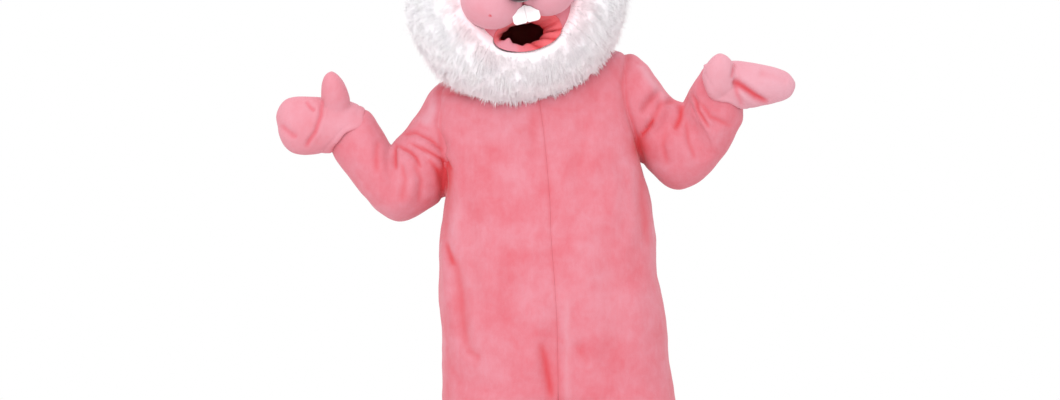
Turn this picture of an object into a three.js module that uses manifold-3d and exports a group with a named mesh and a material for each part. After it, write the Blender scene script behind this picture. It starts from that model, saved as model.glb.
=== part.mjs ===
// A worn plush animal mascot costume: a bodysuit in four long panels with two sleeves, two mitts,
// and a big head with long-furred cheeks, a padded muzzle and two front teeth.
// Millimetres. +Z is up and the front faces -Y. Left and right are as seen from the front.
// The origin lies inside the suit, midway between its shoulders, where the worn costume is held up.

import * as THREE from "three";
import { mergeVertices } from "three/addons/utils/BufferGeometryUtils.js";
import Module from "manifold-3d";

// Walls and seams
const PLUSH = 4; // short-pile plush, backing and pile together
const FOAM = 12; // plush on foam, in the head
const LINING = 2.5; // plain cloth inside the mouth
const SEAM = 0.3; // clearance between neighbouring pieces
const REST = 0.45; // clearance where the head lies on the suit
const SQUARENESS = 2.5; // superellipse power of the torso's sections
const FAR = 420; // further out than any piece of the head
const MERGE = 1e-4; // vertices closer than this are one

// Heights on the suit
const NECK = 58;
const SPLIT = -780; // the legs start to part here
const CROTCH = -923;
const HEM = -1390;
const NECK_X = -30; // the neck's place across, which the shoulders tilt about
const PARTING_POWER = 2.5; // how late on the way down the trunk turns into two legs
const NECK_RISE = 60; // the filled torso that cuts the head goes on this far above the neck

// Rows of points on the panels: even down the legs and the trunk, closer at the fork and shoulders
const LEG_ROWS = { from: HEM, to: -980, steps: 5 };
const FORK_ROWS = [-945, CROTCH, -908, -880, -835];
const TRUNK_ROWS = { from: -770, to: -60, steps: 12 };
const SHOULDER_ROWS = [-20, 8, 28, 45, NECK];
const COLUMNS = { front: 9, back: 6 }; // steps across each quarter panel

// Torso sections. left, right: side edges. seam: centre front line. front, back: depths.
// tilt: rise in z for each millimetre across, since the right shoulder is held higher.
const TORSO = [
  { z: -923, left: -277, right: 338, seam: 21, front: 172, back: 176, tilt: 0 },
  { z: -858, left: -278, right: 328, seam: 21, front: 184, back: 186, tilt: 0 },
  { z: -754, left: -278, right: 315, seam: 20, front: 190, back: 190, tilt: 0 },
  { z: -650, left: -283, right: 304, seam: 18, front: 190, back: 188, tilt: 0 },
  { z: -546, left: -289, right: 286, seam: 12, front: 188, back: 178, tilt: 0 },
  { z: -442, left: -283, right: 278, seam: 4, front: 184, back: 166, tilt: 0 },
  { z: -338, left: -275, right: 262, seam: 0, front: 177, back: 156, tilt: 0 },
  { z: -250, left: -284, right: 243, seam: -7, front: 168, back: 150, tilt: 0.02 },
  { z: -160, left: -311, right: 233, seam: -16, front: 154, back: 144, tilt: 0.05 },
  { z: -80, left: -311, right: 228, seam: -27, front: 138, back: 134, tilt: 0.1 },
  { z: -20, left: -298, right: 219, seam: -30, front: 121, back: 121, tilt: 0.15 },
  { z: 8, left: -270, right: 200, seam: -31, front: 108, back: 110, tilt: 0.16 },
  { z: 28, left: -220, right: 156, seam: -32, front: 98, back: 101, tilt: 0.16 },
  { z: 45, left: -162, right: 103, seam: -33, front: 90, back: 95, tilt: 0.16 },
  { z: 58, left: -122, right: 62, seam: -34, front: 84, back: 90, tilt: 0.16 },
];

// Leg sections. inner, outer: edges of the leg. front, back: depths.
const LEGS = {
  left: [
    { z: -1390, inner: -74, outer: -236, front: 84, back: 92 },
    { z: -1300, inner: -58, outer: -250, front: 100, back: 108 },
    { z: -1150, inner: -28, outer: -264, front: 124, back: 131 },
    { z: -1000, inner: 4, outer: -274, front: 150, back: 156 },
    { z: -923, inner: 21, outer: -277, front: 168, back: 172 },
    { z: -800, inner: 19, outer: -278, front: 186, back: 188 },
  ],
  right: [
    { z: -1390, inner: 140, outer: 306, front: 84, back: 92 },
    { z: -1300, inner: 116, outer: 322, front: 100, back: 108 },
    { z: -1150, inner: 82, outer: 336, front: 124, back: 131 },
    { z: -1000, inner: 42, outer: 340, front: 150, back: 156 },
    { z: -923, inner: 21, outer: 338, front: 168, back: 172 },
    { z: -800, inner: 19, outer: 320, front: 186, back: 188 },
  ],
};

// Arm sections, from inside the shoulder to inside the mitt. topX, topZ and lowX, lowZ: the two
// ends of the section as seen from the front. y: its place in depth. half: its half depth.
const ARMS = {
  left: [
    { topX: -190, topZ: -40, lowX: -170, lowZ: -190, y: 0, half: 80 },
    { topX: -262, topZ: -23, lowX: -205, lowZ: -232, y: 0, half: 84 },
    { topX: -308, topZ: -55, lowX: -237, lowZ: -286, y: -2, half: 87 },
    { topX: -336, topZ: -104, lowX: -267, lowZ: -331, y: -4, half: 89 },
    { topX: -364, topZ: -148, lowX: -304, lowZ: -358, y: -6, half: 92 },
    { topX: -392, topZ: -180, lowX: -345, lowZ: -383, y: -9, half: 90 },
    { topX: -407, topZ: -198, lowX: -392, lowZ: -392, y: -12, half: 88 },
    { topX: -415, topZ: -193, lowX: -441, lowZ: -366, y: -16, half: 84 },
    { topX: -425, topZ: -172, lowX: -479, lowZ: -330, y: -20, half: 79 },
    { topX: -440, topZ: -147, lowX: -515, lowZ: -286, y: -25, half: 74 },
    { topX: -460, topZ: -118, lowX: -545, lowZ: -248, y: -30, half: 66 },
    { topX: -478, topZ: -105, lowX: -564, lowZ: -210, y: -35, half: 56 },
    { topX: -509, topZ: -90, lowX: -588, lowZ: -213, y: -40, half: 54 },
  ],
  right: [
    { topX: 128, topZ: 10, lowX: 134, lowZ: -160, y: 0, half: 84 },
    { topX: 198, topZ: 46, lowX: 196, lowZ: -204, y: 0, half: 91 },
    { topX: 250, topZ: 16, lowX: 246, lowZ: -252, y: -2, half: 93 },
    { topX: 283, topZ: -32, lowX: 288, lowZ: -289, y: -6, half: 92 },
    { topX: 316, topZ: -71, lowX: 319, lowZ: -307, y: -12, half: 90 },
    { topX: 341, topZ: -85, lowX: 354, lowZ: -307, y: -20, half: 88 },
    { topX: 348, topZ: -84, lowX: 392, lowZ: -289, y: -30, half: 84 },
    { topX: 352, topZ: -73, lowX: 426, lowZ: -253, y: -48, half: 79 },
    { topX: 358, topZ: -56, lowX: 452, lowZ: -215, y: -68, half: 74 },
    { topX: 369, topZ: -36, lowX: 473, lowZ: -172, y: -87, half: 66 },
    { topX: 380, topZ: -18, lowX: 489, lowZ: -137, y: -100, half: 57 },
    { topX: 392, topZ: 1, lowX: 493, lowZ: -103, y: -110, half: 60 },
    { topX: 415, topZ: 3, lowX: 508, lowZ: -101, y: -118, half: 55 },
  ],
};

// Mitt sections in the same form: the finger pouch from the open wrist to its tip, and the thumb.
const POUCHES = {
  left: [
    { topX: -475, topZ: -101, lowX: -567, lowZ: -214, y: -35, half: 60 },
    { topX: -506, topZ: -86, lowX: -591, lowZ: -217, y: -40, half: 59 },
    { topX: -538, topZ: -77, lowX: -613, lowZ: -221, y: -46, half: 57 },
    { topX: -576, topZ: -73, lowX: -635, lowZ: -222, y: -51, half: 54 },
    { topX: -614, topZ: -72, lowX: -661, lowZ: -215, y: -55, half: 49 },
    { topX: -647, topZ: -72, lowX: -681, lowZ: -197, y: -58, half: 41 },
    { topX: -673, topZ: -78, lowX: -693, lowZ: -171, y: -60, half: 31 },
    { topX: -688, topZ: -92, lowX: -698, lowZ: -146, y: -61, half: 19 },
    { topX: -699, topZ: -113, lowX: -701, lowZ: -125, y: -61, half: 5 },
  ],
  right: [
    { topX: 389, topZ: 4, lowX: 496, lowZ: -106, y: -110, half: 64 },
    { topX: 411, topZ: 8, lowX: 511, lowZ: -105, y: -118, half: 60 },
    { topX: 441, topZ: 11, lowX: 526, lowZ: -103, y: -126, half: 54 },
    { topX: 473, topZ: 13, lowX: 540, lowZ: -101, y: -134, half: 49 },
    { topX: 505, topZ: 8, lowX: 555, lowZ: -99, y: -140, half: 44 },
    { topX: 540, topZ: 2, lowX: 572, lowZ: -95, y: -143, half: 38 },
    { topX: 572, topZ: -6, lowX: 590, lowZ: -90, y: -144, half: 31 },
    { topX: 600, topZ: -17, lowX: 608, lowZ: -78, y: -143, half: 21 },
    { topX: 617, topZ: -38, lowX: 619, lowZ: -56, y: -141, half: 8 },
  ],
};
const THUMBS = {
  left: [
    { topX: -512, topZ: -112, lowX: -578, lowZ: -122, y: -66, half: 24 },
    { topX: -509, topZ: -82, lowX: -582, lowZ: -92, y: -74, half: 30 },
    { topX: -513, topZ: -62, lowX: -583, lowZ: -70, y: -80, half: 31 },
    { topX: -521, topZ: -42, lowX: -581, lowZ: -48, y: -84, half: 29 },
    { topX: -531, topZ: -27, lowX: -577, lowZ: -31, y: -86, half: 24 },
    { topX: -543, topZ: -15, lowX: -570, lowZ: -18, y: -86, half: 14 },
    { topX: -553, topZ: -9, lowX: -560, lowZ: -10, y: -86, half: 4 },
  ],
  right: [
    { topX: 418, topZ: -62, lowX: 460, lowZ: -64, y: -146, half: 18 },
    { topX: 393, topZ: -46, lowX: 464, lowZ: -47, y: -159, half: 28 },
    { topX: 385, topZ: -25, lowX: 464, lowZ: -25, y: -166, half: 31 },
    { topX: 391, topZ: -3, lowX: 459, lowZ: -3, y: -168, half: 29 },
    { topX: 403, topZ: 14, lowX: 450, lowZ: 13, y: -168, half: 22 },
    { topX: 414, topZ: 23, lowX: 439, lowZ: 23, y: -167, half: 12 },
    { topX: 423, topZ: 28, lowX: 430, lowZ: 28, y: -167, half: 4 },
  ],
};

const ARM_GRID = { steps: 17, sides: 14 };
const POUCH_GRID = { steps: 9, sides: 14 };
const THUMB_GRID = { steps: 6, sides: 10 };
const DRAWN_OUT = 20; // a hollow goes on this far past an open end
const MITT_SEAM_BACK = 12; // the mitt's seam runs this far behind its middle: the thumb is in front
const MITT_SLAB = { far: 400, before: 60, past: 90, apart: 1 }; // the block that parts palm and back

// The largest creases: straight troughs on the front or the back, from one end to the other.
const CREASES = [
  { x0: 12, z0: -600, x1: 2, z1: -860, side: "front", wide: 26, deep: 7 },
  { x0: -110, z0: -420, x1: -95, z1: -780, side: "front", wide: 34, deep: 6 },
  { x0: 150, z0: -380, x1: 175, z1: -800, side: "front", wide: 36, deep: 7 },
  { x0: -205, z0: -330, x1: -190, z1: -640, side: "front", wide: 34, deep: 7 },
  { x0: 215, z0: -260, x1: 232, z1: -560, side: "front", wide: 32, deep: 7 },
  { x0: -330, z0: -165, x1: -262, z1: -215, side: "front", wide: 20, deep: 8 },
  { x0: -372, z0: -200, x1: -300, z1: -240, side: "front", wide: 20, deep: 8 },
  { x0: -400, z0: -210, x1: -395, z1: -340, side: "front", wide: 20, deep: 7 },
  { x0: 288, z0: -70, x1: 236, z1: -120, side: "front", wide: 20, deep: 7 },
  { x0: 330, z0: -120, x1: 262, z1: -175, side: "front", wide: 22, deep: 8 },
  { x0: 350, z0: -125, x1: 400, z1: -240, side: "front", wide: 22, deep: 9 },
  { x0: 372, z0: -70, x1: 425, z1: -160, side: "front", wide: 20, deep: 6 },
  { x0: -60, z0: -160, x1: -90, z1: -620, side: "back", wide: 40, deep: 7 },
  { x0: 90, z0: -180, x1: 120, z1: -640, side: "back", wide: 40, deep: 7 },
  { x0: -372, z0: -200, x1: -310, z1: -250, side: "back", wide: 22, deep: 7 },
  { x0: 335, z0: -130, x1: 270, z1: -180, side: "back", wide: 22, deep: 7 },
];
const CREASE_ENDS = 4; // power that keeps a crease deep until close to its ends
const CREASE_FADE = 2; // a crease is full where the surface faces at least half to its side

// The head, in its own axes: x to its right as seen, y to its back, z up, about its centre.
const HEAD_CENTRE = new THREE.Vector3(-85, -70, 187);
const HEAD_ROLL = THREE.MathUtils.degToRad(-14); // the crown leans to the left
const HEAD_YAW = THREE.MathUtils.degToRad(3); // the face turns a little to the right
const HEAD_RADII = new THREE.Vector3(240, 232, 242);
const HEAD_SEAM_Y = 12; // the face shell and the back shell meet here
const HEAD_OPENING = { radius: 128, y: 30, fromZ: -300, toZ: -60, sides: 24 }; // for the neck
const MOUTH = { x: 2, z: -128, halfWidth: 128, halfHeight: 54, depth: 74, fromY: -300, toY: -120 };
const MOUTH_END = { x: -22, z: -117, halfWidth: 58, halfHeight: 33 }; // the lining's inner end
const LINING_INSET = 1; // the lining's front edge lies this far inside the face
const RUFF = { span: 128, taper: 30, outerAngle: 104, innerX: 140, innerZ: 172, rows: 7 };
const BELLY = { from: 0.16, span: 0.68, power: 0.8 }; // how the fur swells between its two edges
const LOCK = 0.08; // every other column of locks is longer by this share, and the rest shorter
const FUR = { thick: 51, thickerLeft: 7, edge: 5, sunk: 6 }; // depth of the fur on the shell
const TUFTS = 38; // columns of locks round the ruff
const RUFF_PIECES = [
  { name: "ruff_left", first: 0, last: 13 },
  { name: "ruff_chin", first: 13, last: 25 },
  { name: "ruff_right", first: 25, last: TUFTS },
];
const LOBES = { x: 68, y: -214, z: -18, radiusX: 77, radiusY: 74, radiusZ: 75 };
const FACE_CENTRE_X = -6; // the muzzle's centre line
const NOSE = { y: -290, z: -26, radiusX: 37, radiusY: 25, radiusZ: 25 };
const TEETH = { width: 33.5, top: -50, bottom: -97, y: -243, thick: 12, curveSteps: 4 };
const TOOTH_CORNERS = { outer: 9, innerAcross: 5.4, innerUp: 3.6 }; // the rounded lower corners
const EYES = { x: 70, z: 90, radiusX: 25, radiusY: 15, radiusZ: 31, proud: 2 };
const EARS = { x: 112, y: 10, z: 292, halfWidth: 47, halfDepth: 21, halfHeight: 108, lean: 13 };
// Faces round and from end to end of each rounded solid
const GRIDS = {
  head: { sides: 24, rows: 14 },
  lobe: { sides: 18, rows: 10 },
  nose: { sides: 14, rows: 8 },
  eye: { sides: 12, rows: 8 },
  ear: { sides: 14, rows: 10 },
  mouth: { sides: 18 },
};

const PINK = { color: "#f0a0ae", roughness: 0.95, metalness: 0 };
const WHITE_FUR = { color: "#f4ebf0", roughness: 1, metalness: 0 };
const FELT = { color: "#fbf4f5", roughness: 0.9, metalness: 0 };
const CORAL = { color: "#e2737b", roughness: 0.9, metalness: 0 };
const BLACK = { color: "#16100f", roughness: 0.3, metalness: 0 };

const wasm = await Module();
wasm.setup();
const costume = new THREE.Group();
costume.name = "costume";

// Solids from grids of points

function toSolid(points, triangles) {
  let volume = 0;
  for (const [a, b, c] of triangles) {
    volume += points[a].dot(new THREE.Vector3().crossVectors(points[b], points[c]));
  }
  const order = volume < 0 ? [0, 2, 1] : [0, 1, 2];
  const vertProperties = new Float32Array(points.flatMap((p) => [p.x, p.y, p.z]));
  const triVerts = new Uint32Array(triangles.flatMap((t) => order.map((k) => t[k])));
  return new wasm.Manifold(new wasm.Mesh({ numProp: 3, vertProperties, triVerts }));
}

// A closed solid from a stack of closed loops, capped at both ends.
function loopSolid(loops) {
  const around = loops[0].length;
  const points = loops.flat();
  const triangles = [];
  for (let row = 0; row + 1 < loops.length; row += 1) {
    for (let k = 0; k < around; k += 1) {
      const a = row * around + k;
      const b = row * around + ((k + 1) % around);
      triangles.push([a, b, b + around], [a, b + around, a + around]);
    }
  }
  for (const [loop, start, flip] of [
    [loops[0], 0, true],
    [loops.at(-1), (loops.length - 1) * around, false],
  ]) {
    const centre = loop.reduce((sum, p) => sum.add(p), new THREE.Vector3()).divideScalar(around);
    const middle = points.push(centre) - 1;
    for (let k = 0; k < around; k += 1) {
      const a = start + k;
      const b = start + ((k + 1) % around);
      triangles.push(flip ? [b, a, middle] : [a, b, middle]);
    }
  }
  return toSolid(points, triangles);
}

// A closed solid between two matching open grids of points. mirrored turns each cell's diagonal.
function wallSolid(outer, inner, mirrored = false) {
  const rows = outer.length;
  const columns = outer[0].length;
  const points = [...outer.flat(), ...inner.flat()];
  const size = rows * columns;
  const at = (row, column) => row * columns + column;
  const triangles = [];
  for (let row = 0; row + 1 < rows; row += 1) {
    for (let column = 0; column + 1 < columns; column += 1) {
      const [a, b] = [at(row, column), at(row, column + 1)];
      const [c, d] = [at(row + 1, column + 1), at(row + 1, column)];
      const halves = mirrored ? [[a, b, d], [b, c, d]] : [[a, b, c], [a, c, d]];
      for (const [p, q, r] of halves) triangles.push([p, q, r], [p + size, r + size, q + size]);
    }
  }
  const rim = [];
  for (let column = 0; column < columns; column += 1) rim.push(at(0, column));
  for (let row = 1; row < rows; row += 1) rim.push(at(row, columns - 1));
  for (let column = columns - 2; column >= 0; column -= 1) rim.push(at(rows - 1, column));
  for (let row = rows - 2; row > 0; row -= 1) rim.push(at(row, 0));
  rim.forEach((a, k) => {
    const b = rim[(k + 1) % rim.length];
    triangles.push([b, a, a + size], [b, a + size, b + size]);
  });
  return toSolid(points, triangles);
}

function fromGeometry(geometry) {
  const bare = geometry.clone();
  bare.deleteAttribute("normal");
  bare.deleteAttribute("uv");
  const merged = mergeVertices(bare, MERGE);
  return new wasm.Manifold(
    new wasm.Mesh({
      numProp: 3,
      vertProperties: new Float32Array(merged.attributes.position.array),
      triVerts: new Uint32Array(merged.index.array),
    }),
  );
}

function addPiece(name, solid, look) {
  const { numProp, vertProperties, triVerts } = solid.getMesh();
  const geometry = new THREE.BufferGeometry();
  const positions = new Float32Array((vertProperties.length / numProp) * 3);
  for (let k = 0; k < positions.length / 3; k += 1) {
    for (let axis = 0; axis < 3; axis += 1) positions[k * 3 + axis] = vertProperties[k * numProp + axis];
  }
  geometry.setAttribute("position", new THREE.BufferAttribute(positions, 3));
  geometry.setIndex(new THREE.BufferAttribute(new Uint32Array(triVerts), 1));
  const mesh = new THREE.Mesh(geometry, new THREE.MeshStandardMaterial(look));
  mesh.name = name;
  costume.add(mesh);
}

function stations(from, to, count) {
  return Array.from({ length: count + 1 }, (_, k) => from + ((to - from) * k) / count);
}

// Smooth values between the rows of a table, which rise in the column named by.
function between(rows, by, value) {
  let k = 0;
  while (k < rows.length - 2 && rows[k + 1][by] < value) k += 1;
  const [a, b] = [rows[k], rows[k + 1]];
  const before = rows[k - 1] ?? a;
  const after = rows[k + 2] ?? b;
  const gap = b[by] - a[by];
  const t = THREE.MathUtils.clamp((value - a[by]) / gap, 0, 1);
  const result = {};
  for (const key of Object.keys(a)) {
    const slopeA = (b[key] - before[key]) / (b[by] - before[by]);
    const slopeB = (after[key] - a[key]) / (after[by] - a[by]);
    const [t2, t3] = [t * t, t * t * t];
    result[key] =
      (2 * t3 - 3 * t2 + 1) * a[key] +
      (t3 - 2 * t2 + t) * gap * slopeA +
      (3 * t2 - 2 * t3) * b[key] +
      (t3 - t2) * gap * slopeB;
  }
  result[by] = value;
  return result;
}

// How deep the creases lie at a point whose surface faces the given way.
function creaseDepth(point, normal) {
  let depth = 0;
  for (const crease of CREASES) {
    const facing = crease.side === "front" ? -normal.y : normal.y;
    if (facing <= 0) continue;
    const along = new THREE.Vector2(crease.x1 - crease.x0, crease.z1 - crease.z0);
    const from = new THREE.Vector2(point.x - crease.x0, point.z - crease.z0);
    const t = from.dot(along) / along.lengthSq();
    const across = from.cross(along) / along.length() / crease.wide;
    const ends = Math.max(0, 1 - (2 * t - 1) ** CREASE_ENDS);
    const share = ends * Math.exp(-across * across) * Math.min(1, CREASE_FADE * facing);
    if (t > 0 && t < 1) depth += crease.deep * share;
  }
  return depth;
}

// The bodysuit

// How far forward the fullest point of a half torso turning into a leg would come, as a share.
function fullness(parting) {
  const samples = 24;
  let most = 0;
  for (const turn of stations(0, Math.PI / 2, samples)) {
    const depth = (1 - parting) * Math.cos(turn) ** (2 / SQUARENESS) + parting * Math.sin(2 * turn);
    most = Math.max(most, depth);
  }
  return most;
}

// A point of a quarter panel's outside. across: 0 at the centre or inner leg seam, 1 at the side.
function suitPoint(side, face, across, z) {
  const body = between(TORSO, "z", Math.max(z, CROTCH));
  const leg = between(LEGS[side], "z", z);
  const turn = (across * Math.PI) / 2;
  const seam = face === "front" ? body.seam : (body.left + body.right) / 2;
  const depth = face === "front" ? -body.front : body.back;
  const torso = new THREE.Vector3(
    seam + (body[side] - seam) * Math.sin(turn) ** (2 / SQUARENESS),
    depth * Math.cos(turn) ** (2 / SQUARENESS),
    z,
  );
  torso.z += body.tilt * (torso.x - NECK_X);
  const legDepth = face === "front" ? -leg.front : leg.back;
  const parting = THREE.MathUtils.clamp((SPLIT - z) / (SPLIT - CROTCH), 0, 1) ** PARTING_POWER;
  const inner = z > CROTCH ? body.seam : leg.inner;
  const thigh = new THREE.Vector3(
    (inner + leg.outer) / 2 - ((leg.outer - inner) / 2) * Math.cos(2 * turn),
    legDepth * Math.sin(2 * turn),
    z,
  );
  torso.lerp(thigh, parting);
  torso.y /= fullness(parting);
  return torso;
}

function suitNormal(side, face, across, z) {
  const [step, rise] = [0.004, 2];
  const [a0, a1] = [Math.max(0, across - step), Math.min(1, across + step)];
  const [z0, z1] = [Math.max(HEM, z - rise), Math.min(NECK, z + rise)];
  const alongU = suitPoint(side, face, a1, z).sub(suitPoint(side, face, a0, z));
  const alongZ = suitPoint(side, face, across, z1).sub(suitPoint(side, face, across, z0));
  const normal = new THREE.Vector3().crossVectors(alongU, alongZ).normalize();
  const outwards = (side === "left" ? -1 : 1) * (face === "front" ? 1 : -1);
  return normal.multiplyScalar(outwards);
}

// The same point moved out or in along the surface's normal, with the creases.
function clothPoint(side, face, across, z, out) {
  const normal = suitNormal(side, face, across, z);
  const point = suitPoint(side, face, across, z);
  return point.addScaledVector(normal, out - creaseDepth(point, normal));
}

const evenly = ({ from, to, steps }) => stations(from, to, steps);
const TORSO_ROWS = [...evenly(TRUNK_ROWS), ...SHOULDER_ROWS];
const SUIT_ROWS = [...evenly(LEG_ROWS), ...FORK_ROWS, ...TORSO_ROWS];

function suitPanel(side, face) {
  const places = stations(0, 1, COLUMNS[face]);
  const row = (z, out) => places.map((across) => clothPoint(side, face, across, z, out));
  const grid = (out) => SUIT_ROWS.map((z) => row(z, out));
  const apart = new THREE.Vector3(side === "left" ? -1 : 1, face === "front" ? -1 : 1, 0);
  apart.multiplyScalar(SEAM / 2);
  const move = (rows) => rows.map((points) => points.map((p) => p.add(apart)));
  const mirrored = (side === "left") !== (face === "front");
  return wallSolid(move(grid(0)), move(grid(-PLUSH)), mirrored);
}

// The torso as one filled solid, grown or shrunk, which cuts what meets it.
function torsoFilled(out) {
  const loop = (z, lift) => {
    const ring = [];
    for (const [side, face, rising] of [
      ["left", "front", true],
      ["left", "back", false],
      ["right", "back", true],
      ["right", "front", false],
    ]) {
      const places = stations(0, 1, COLUMNS[face]);
      if (!rising) places.reverse();
      for (const across of places.slice(0, -1)) {
        const point = clothPoint(side, face, across, z, out);
        point.z += lift;
        ring.push(point);
      }
    }
    return ring;
  };
  return loopSolid([...TORSO_ROWS.map((z) => loop(z, 0)), loop(NECK, NECK_RISE)]);
}

// Sleeves and mitts

// Closed loops through a table of sections, moved out or in. An open end is drawn out by lengthen.
function sweepLoops(rows, { steps, sides, out = 0, lengthenStart = 0, lengthenEnd = 0 }) {
  const numbered = rows.map((row, k) => ({ ...row, k }));
  const centreOf = (r) => new THREE.Vector3((r.topX + r.lowX) / 2, r.y, (r.topZ + r.lowZ) / 2);
  const last = rows.length - 1;
  const nearby = 0.1;
  const ringAt = (t) => {
    const row = between(numbered, "k", t);
    const ahead = centreOf(between(numbered, "k", Math.min(last, t + nearby)));
    const behind = centreOf(between(numbered, "k", Math.max(0, t - nearby)));
    const tangent = ahead.sub(behind).normalize();
    const half = new THREE.Vector3((row.topX - row.lowX) / 2, 0, (row.topZ - row.lowZ) / 2);
    const depth = new THREE.Vector3().crossVectors(tangent, half).normalize().multiplyScalar(row.half);
    const centre = centreOf(row);
    const ring = Array.from({ length: sides }, (_, k) => {
      const angle = (2 * Math.PI * (k + 0.5)) / sides;
      return centre.clone().addScaledVector(half, Math.cos(angle)).addScaledVector(depth, Math.sin(angle));
    });
    return { ring, tangent };
  };
  const rings = stations(0, last, steps).map(ringAt);
  const loops = rings.map(({ ring }, i) =>
    ring.map((point, k) => {
      const side = ring[(k + 1) % sides].clone().sub(ring[(k + sides - 1) % sides]);
      const along = rings[Math.min(steps, i + 1)].ring[k].clone().sub(rings[Math.max(0, i - 1)].ring[k]);
      const normal = new THREE.Vector3().crossVectors(side, along).normalize();
      const centre = ring.reduce((sum, p) => sum.add(p), new THREE.Vector3()).divideScalar(sides);
      if (normal.dot(point.clone().sub(centre)) < 0) normal.negate();
      return point.clone().addScaledVector(normal, out - creaseDepth(point, normal));
    }),
  );
  const drawn = (loop, tangent, length) => loop.map((p) => p.clone().addScaledVector(tangent, length));
  if (lengthenStart) loops.unshift(drawn(loops[0], rings[0].tangent, -lengthenStart));
  if (lengthenEnd) loops.push(drawn(loops.at(-1), rings.at(-1).tangent, lengthenEnd));
  return loops;
}

function armFilled(side, out) {
  return loopSolid(sweepLoops(ARMS[side], { ...ARM_GRID, out }));
}

// The mitt as one filled solid, drawn out by some length past its wrist.
function mittFilled(side, out, past) {
  const pouch = loopSolid(sweepLoops(POUCHES[side], { ...POUCH_GRID, out, lengthenStart: past }));
  const thumb = loopSolid(sweepLoops(THUMBS[side], { ...THUMB_GRID, out }));
  return pouch.add(thumb);
}

// A slab that fills everything in front of the mitt's seam.
function mittFrontHalf(side, shift) {
  const rows = POUCHES[side].map((r) => ({ x: (r.topX + r.lowX) / 2, y: r.y + MITT_SEAM_BACK }));
  const { far, before, past, apart } = MITT_SLAB;
  const columns = [{ x: POUCHES[side][0].lowX, y: rows[0].y }, ...rows];
  columns.sort((a, b) => a.x - b.x);
  const start = { x: columns[0].x - before, y: columns[0].y };
  const end = { x: columns.at(-1).x + past, y: columns.at(-1).y };
  const line = [start, ...columns, end].filter((p, k, all) => k === 0 || p.x > all[k - 1].x + apart);
  const loops = line.map(({ x, y }) => [
    new THREE.Vector3(x, y + shift, -far),
    new THREE.Vector3(x, y - far, -far),
    new THREE.Vector3(x, y - far, far),
    new THREE.Vector3(x, y + shift, far),
  ]);
  return loopSolid(loops);
}

// The head

const headTurn = new THREE.Matrix4()
  .makeTranslation(HEAD_CENTRE.x, HEAD_CENTRE.y, HEAD_CENTRE.z)
  .multiply(new THREE.Matrix4().makeRotationZ(HEAD_YAW))
  .multiply(new THREE.Matrix4().makeRotationY(HEAD_ROLL));

function placed(loops) {
  return loops.map((loop) => loop.map((p) => p.clone().applyMatrix4(headTurn)));
}

function ellipsoid(centre, radii, { sides, rows }) {
  const geometry = new THREE.SphereGeometry(1, sides, rows);
  geometry.scale(radii.x, radii.y, radii.z);
  geometry.translate(centre.x, centre.y, centre.z);
  geometry.applyMatrix4(headTurn);
  return fromGeometry(geometry);
}

function headFilled(out) {
  return ellipsoid(new THREE.Vector3(), HEAD_RADII.clone().addScalar(out), GRIDS.head);
}

// A box in the head's axes, given by its lowest and highest corners.
function headBox(low, high) {
  const geometry = new THREE.BoxGeometry(high.x - low.x, high.y - low.y, high.z - low.z);
  geometry.translate((low.x + high.x) / 2, (low.y + high.y) / 2, (low.z + high.z) / 2);
  geometry.applyMatrix4(headTurn);
  return fromGeometry(geometry);
}

// Loops round the mouth, which narrows evenly from the front of the face to the lining's inner end.
function mouthLoops(out) {
  const { sides } = GRIDS.mouth;
  return [MOUTH.fromY, MOUTH.toY].map((y) => {
    const inside = (y + HEAD_RADII.y) / MOUTH.depth;
    const at = (key) => MOUTH[key] + (MOUTH_END[key] - MOUTH[key]) * inside;
    return Array.from({ length: sides }, (_, k) => {
      const angle = (2 * Math.PI * k) / sides;
      return new THREE.Vector3(
        at("x") + (at("halfWidth") + out) * Math.cos(angle),
        y,
        at("z") + (at("halfHeight") + out) * Math.sin(angle),
      );
    });
  });
}

// Distance from the head's centre to its shell, towards a direction.
function shellRadius(direction) {
  return 1 / Math.hypot(direction.x / HEAD_RADII.x, direction.y / HEAD_RADII.y, direction.z / HEAD_RADII.z);
}

// A point of the fur ruff. round: degrees about the face, 0 below and 90 at the right.
// across: 0 at the face's edge and 1 behind the cheeks. share: 0 in the shell, 1 at the tips.
function ruffPoint(round, across, share, column) {
  const turn = THREE.MathUtils.degToRad(round);
  const rim = Math.hypot(RUFF.innerX * Math.sin(turn), RUFF.innerZ * Math.cos(turn));
  const inner = Math.asin(rim / shellRadius(new THREE.Vector3(Math.sin(turn), 0, -Math.cos(turn))));
  const lean = inner + (THREE.MathUtils.degToRad(RUFF.outerAngle) - inner) * across;
  const direction = new THREE.Vector3(
    Math.sin(lean) * Math.sin(turn),
    -Math.cos(lean),
    -Math.sin(lean) * Math.cos(turn),
  );
  const ends = THREE.MathUtils.clamp((RUFF.span - Math.abs(round)) / RUFF.taper, 0, 1);
  const belly = Math.sin(Math.PI * (BELLY.from + BELLY.span * across)) ** BELLY.power;
  const lock = 1 + (column % 2 ? LOCK : -LOCK) * across;
  const fullest = FUR.thick + FUR.thickerLeft * Math.max(0, -Math.sin(turn));
  const thick = FUR.edge + (fullest - FUR.edge) * belly * lock * Math.sqrt(ends);
  return direction.multiplyScalar(shellRadius(direction) + (share ? thick : -FUR.sunk));
}

// One piece of the ruff, from its first to its last column, with half a seam left at each neighbour.
function ruffPiece(first, last) {
  const degreesPerColumn = (2 * RUFF.span) / TUFTS;
  const seamDegrees = THREE.MathUtils.radToDeg(SEAM / 2 / HEAD_RADII.x);
  const grid = (share) =>
    Array.from({ length: last - first + 1 }, (_, k) => {
      const column = first + k;
      let round = -RUFF.span + column * degreesPerColumn;
      if (column === first && first > 0) round += seamDegrees;
      if (column === last && last < TUFTS) round -= seamDegrees;
      return stations(0, 1, RUFF.rows).map((across) => ruffPoint(round, across, share, column));
    });
  return wallSolid(placed(grid(1)), placed(grid(0)));
}

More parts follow.
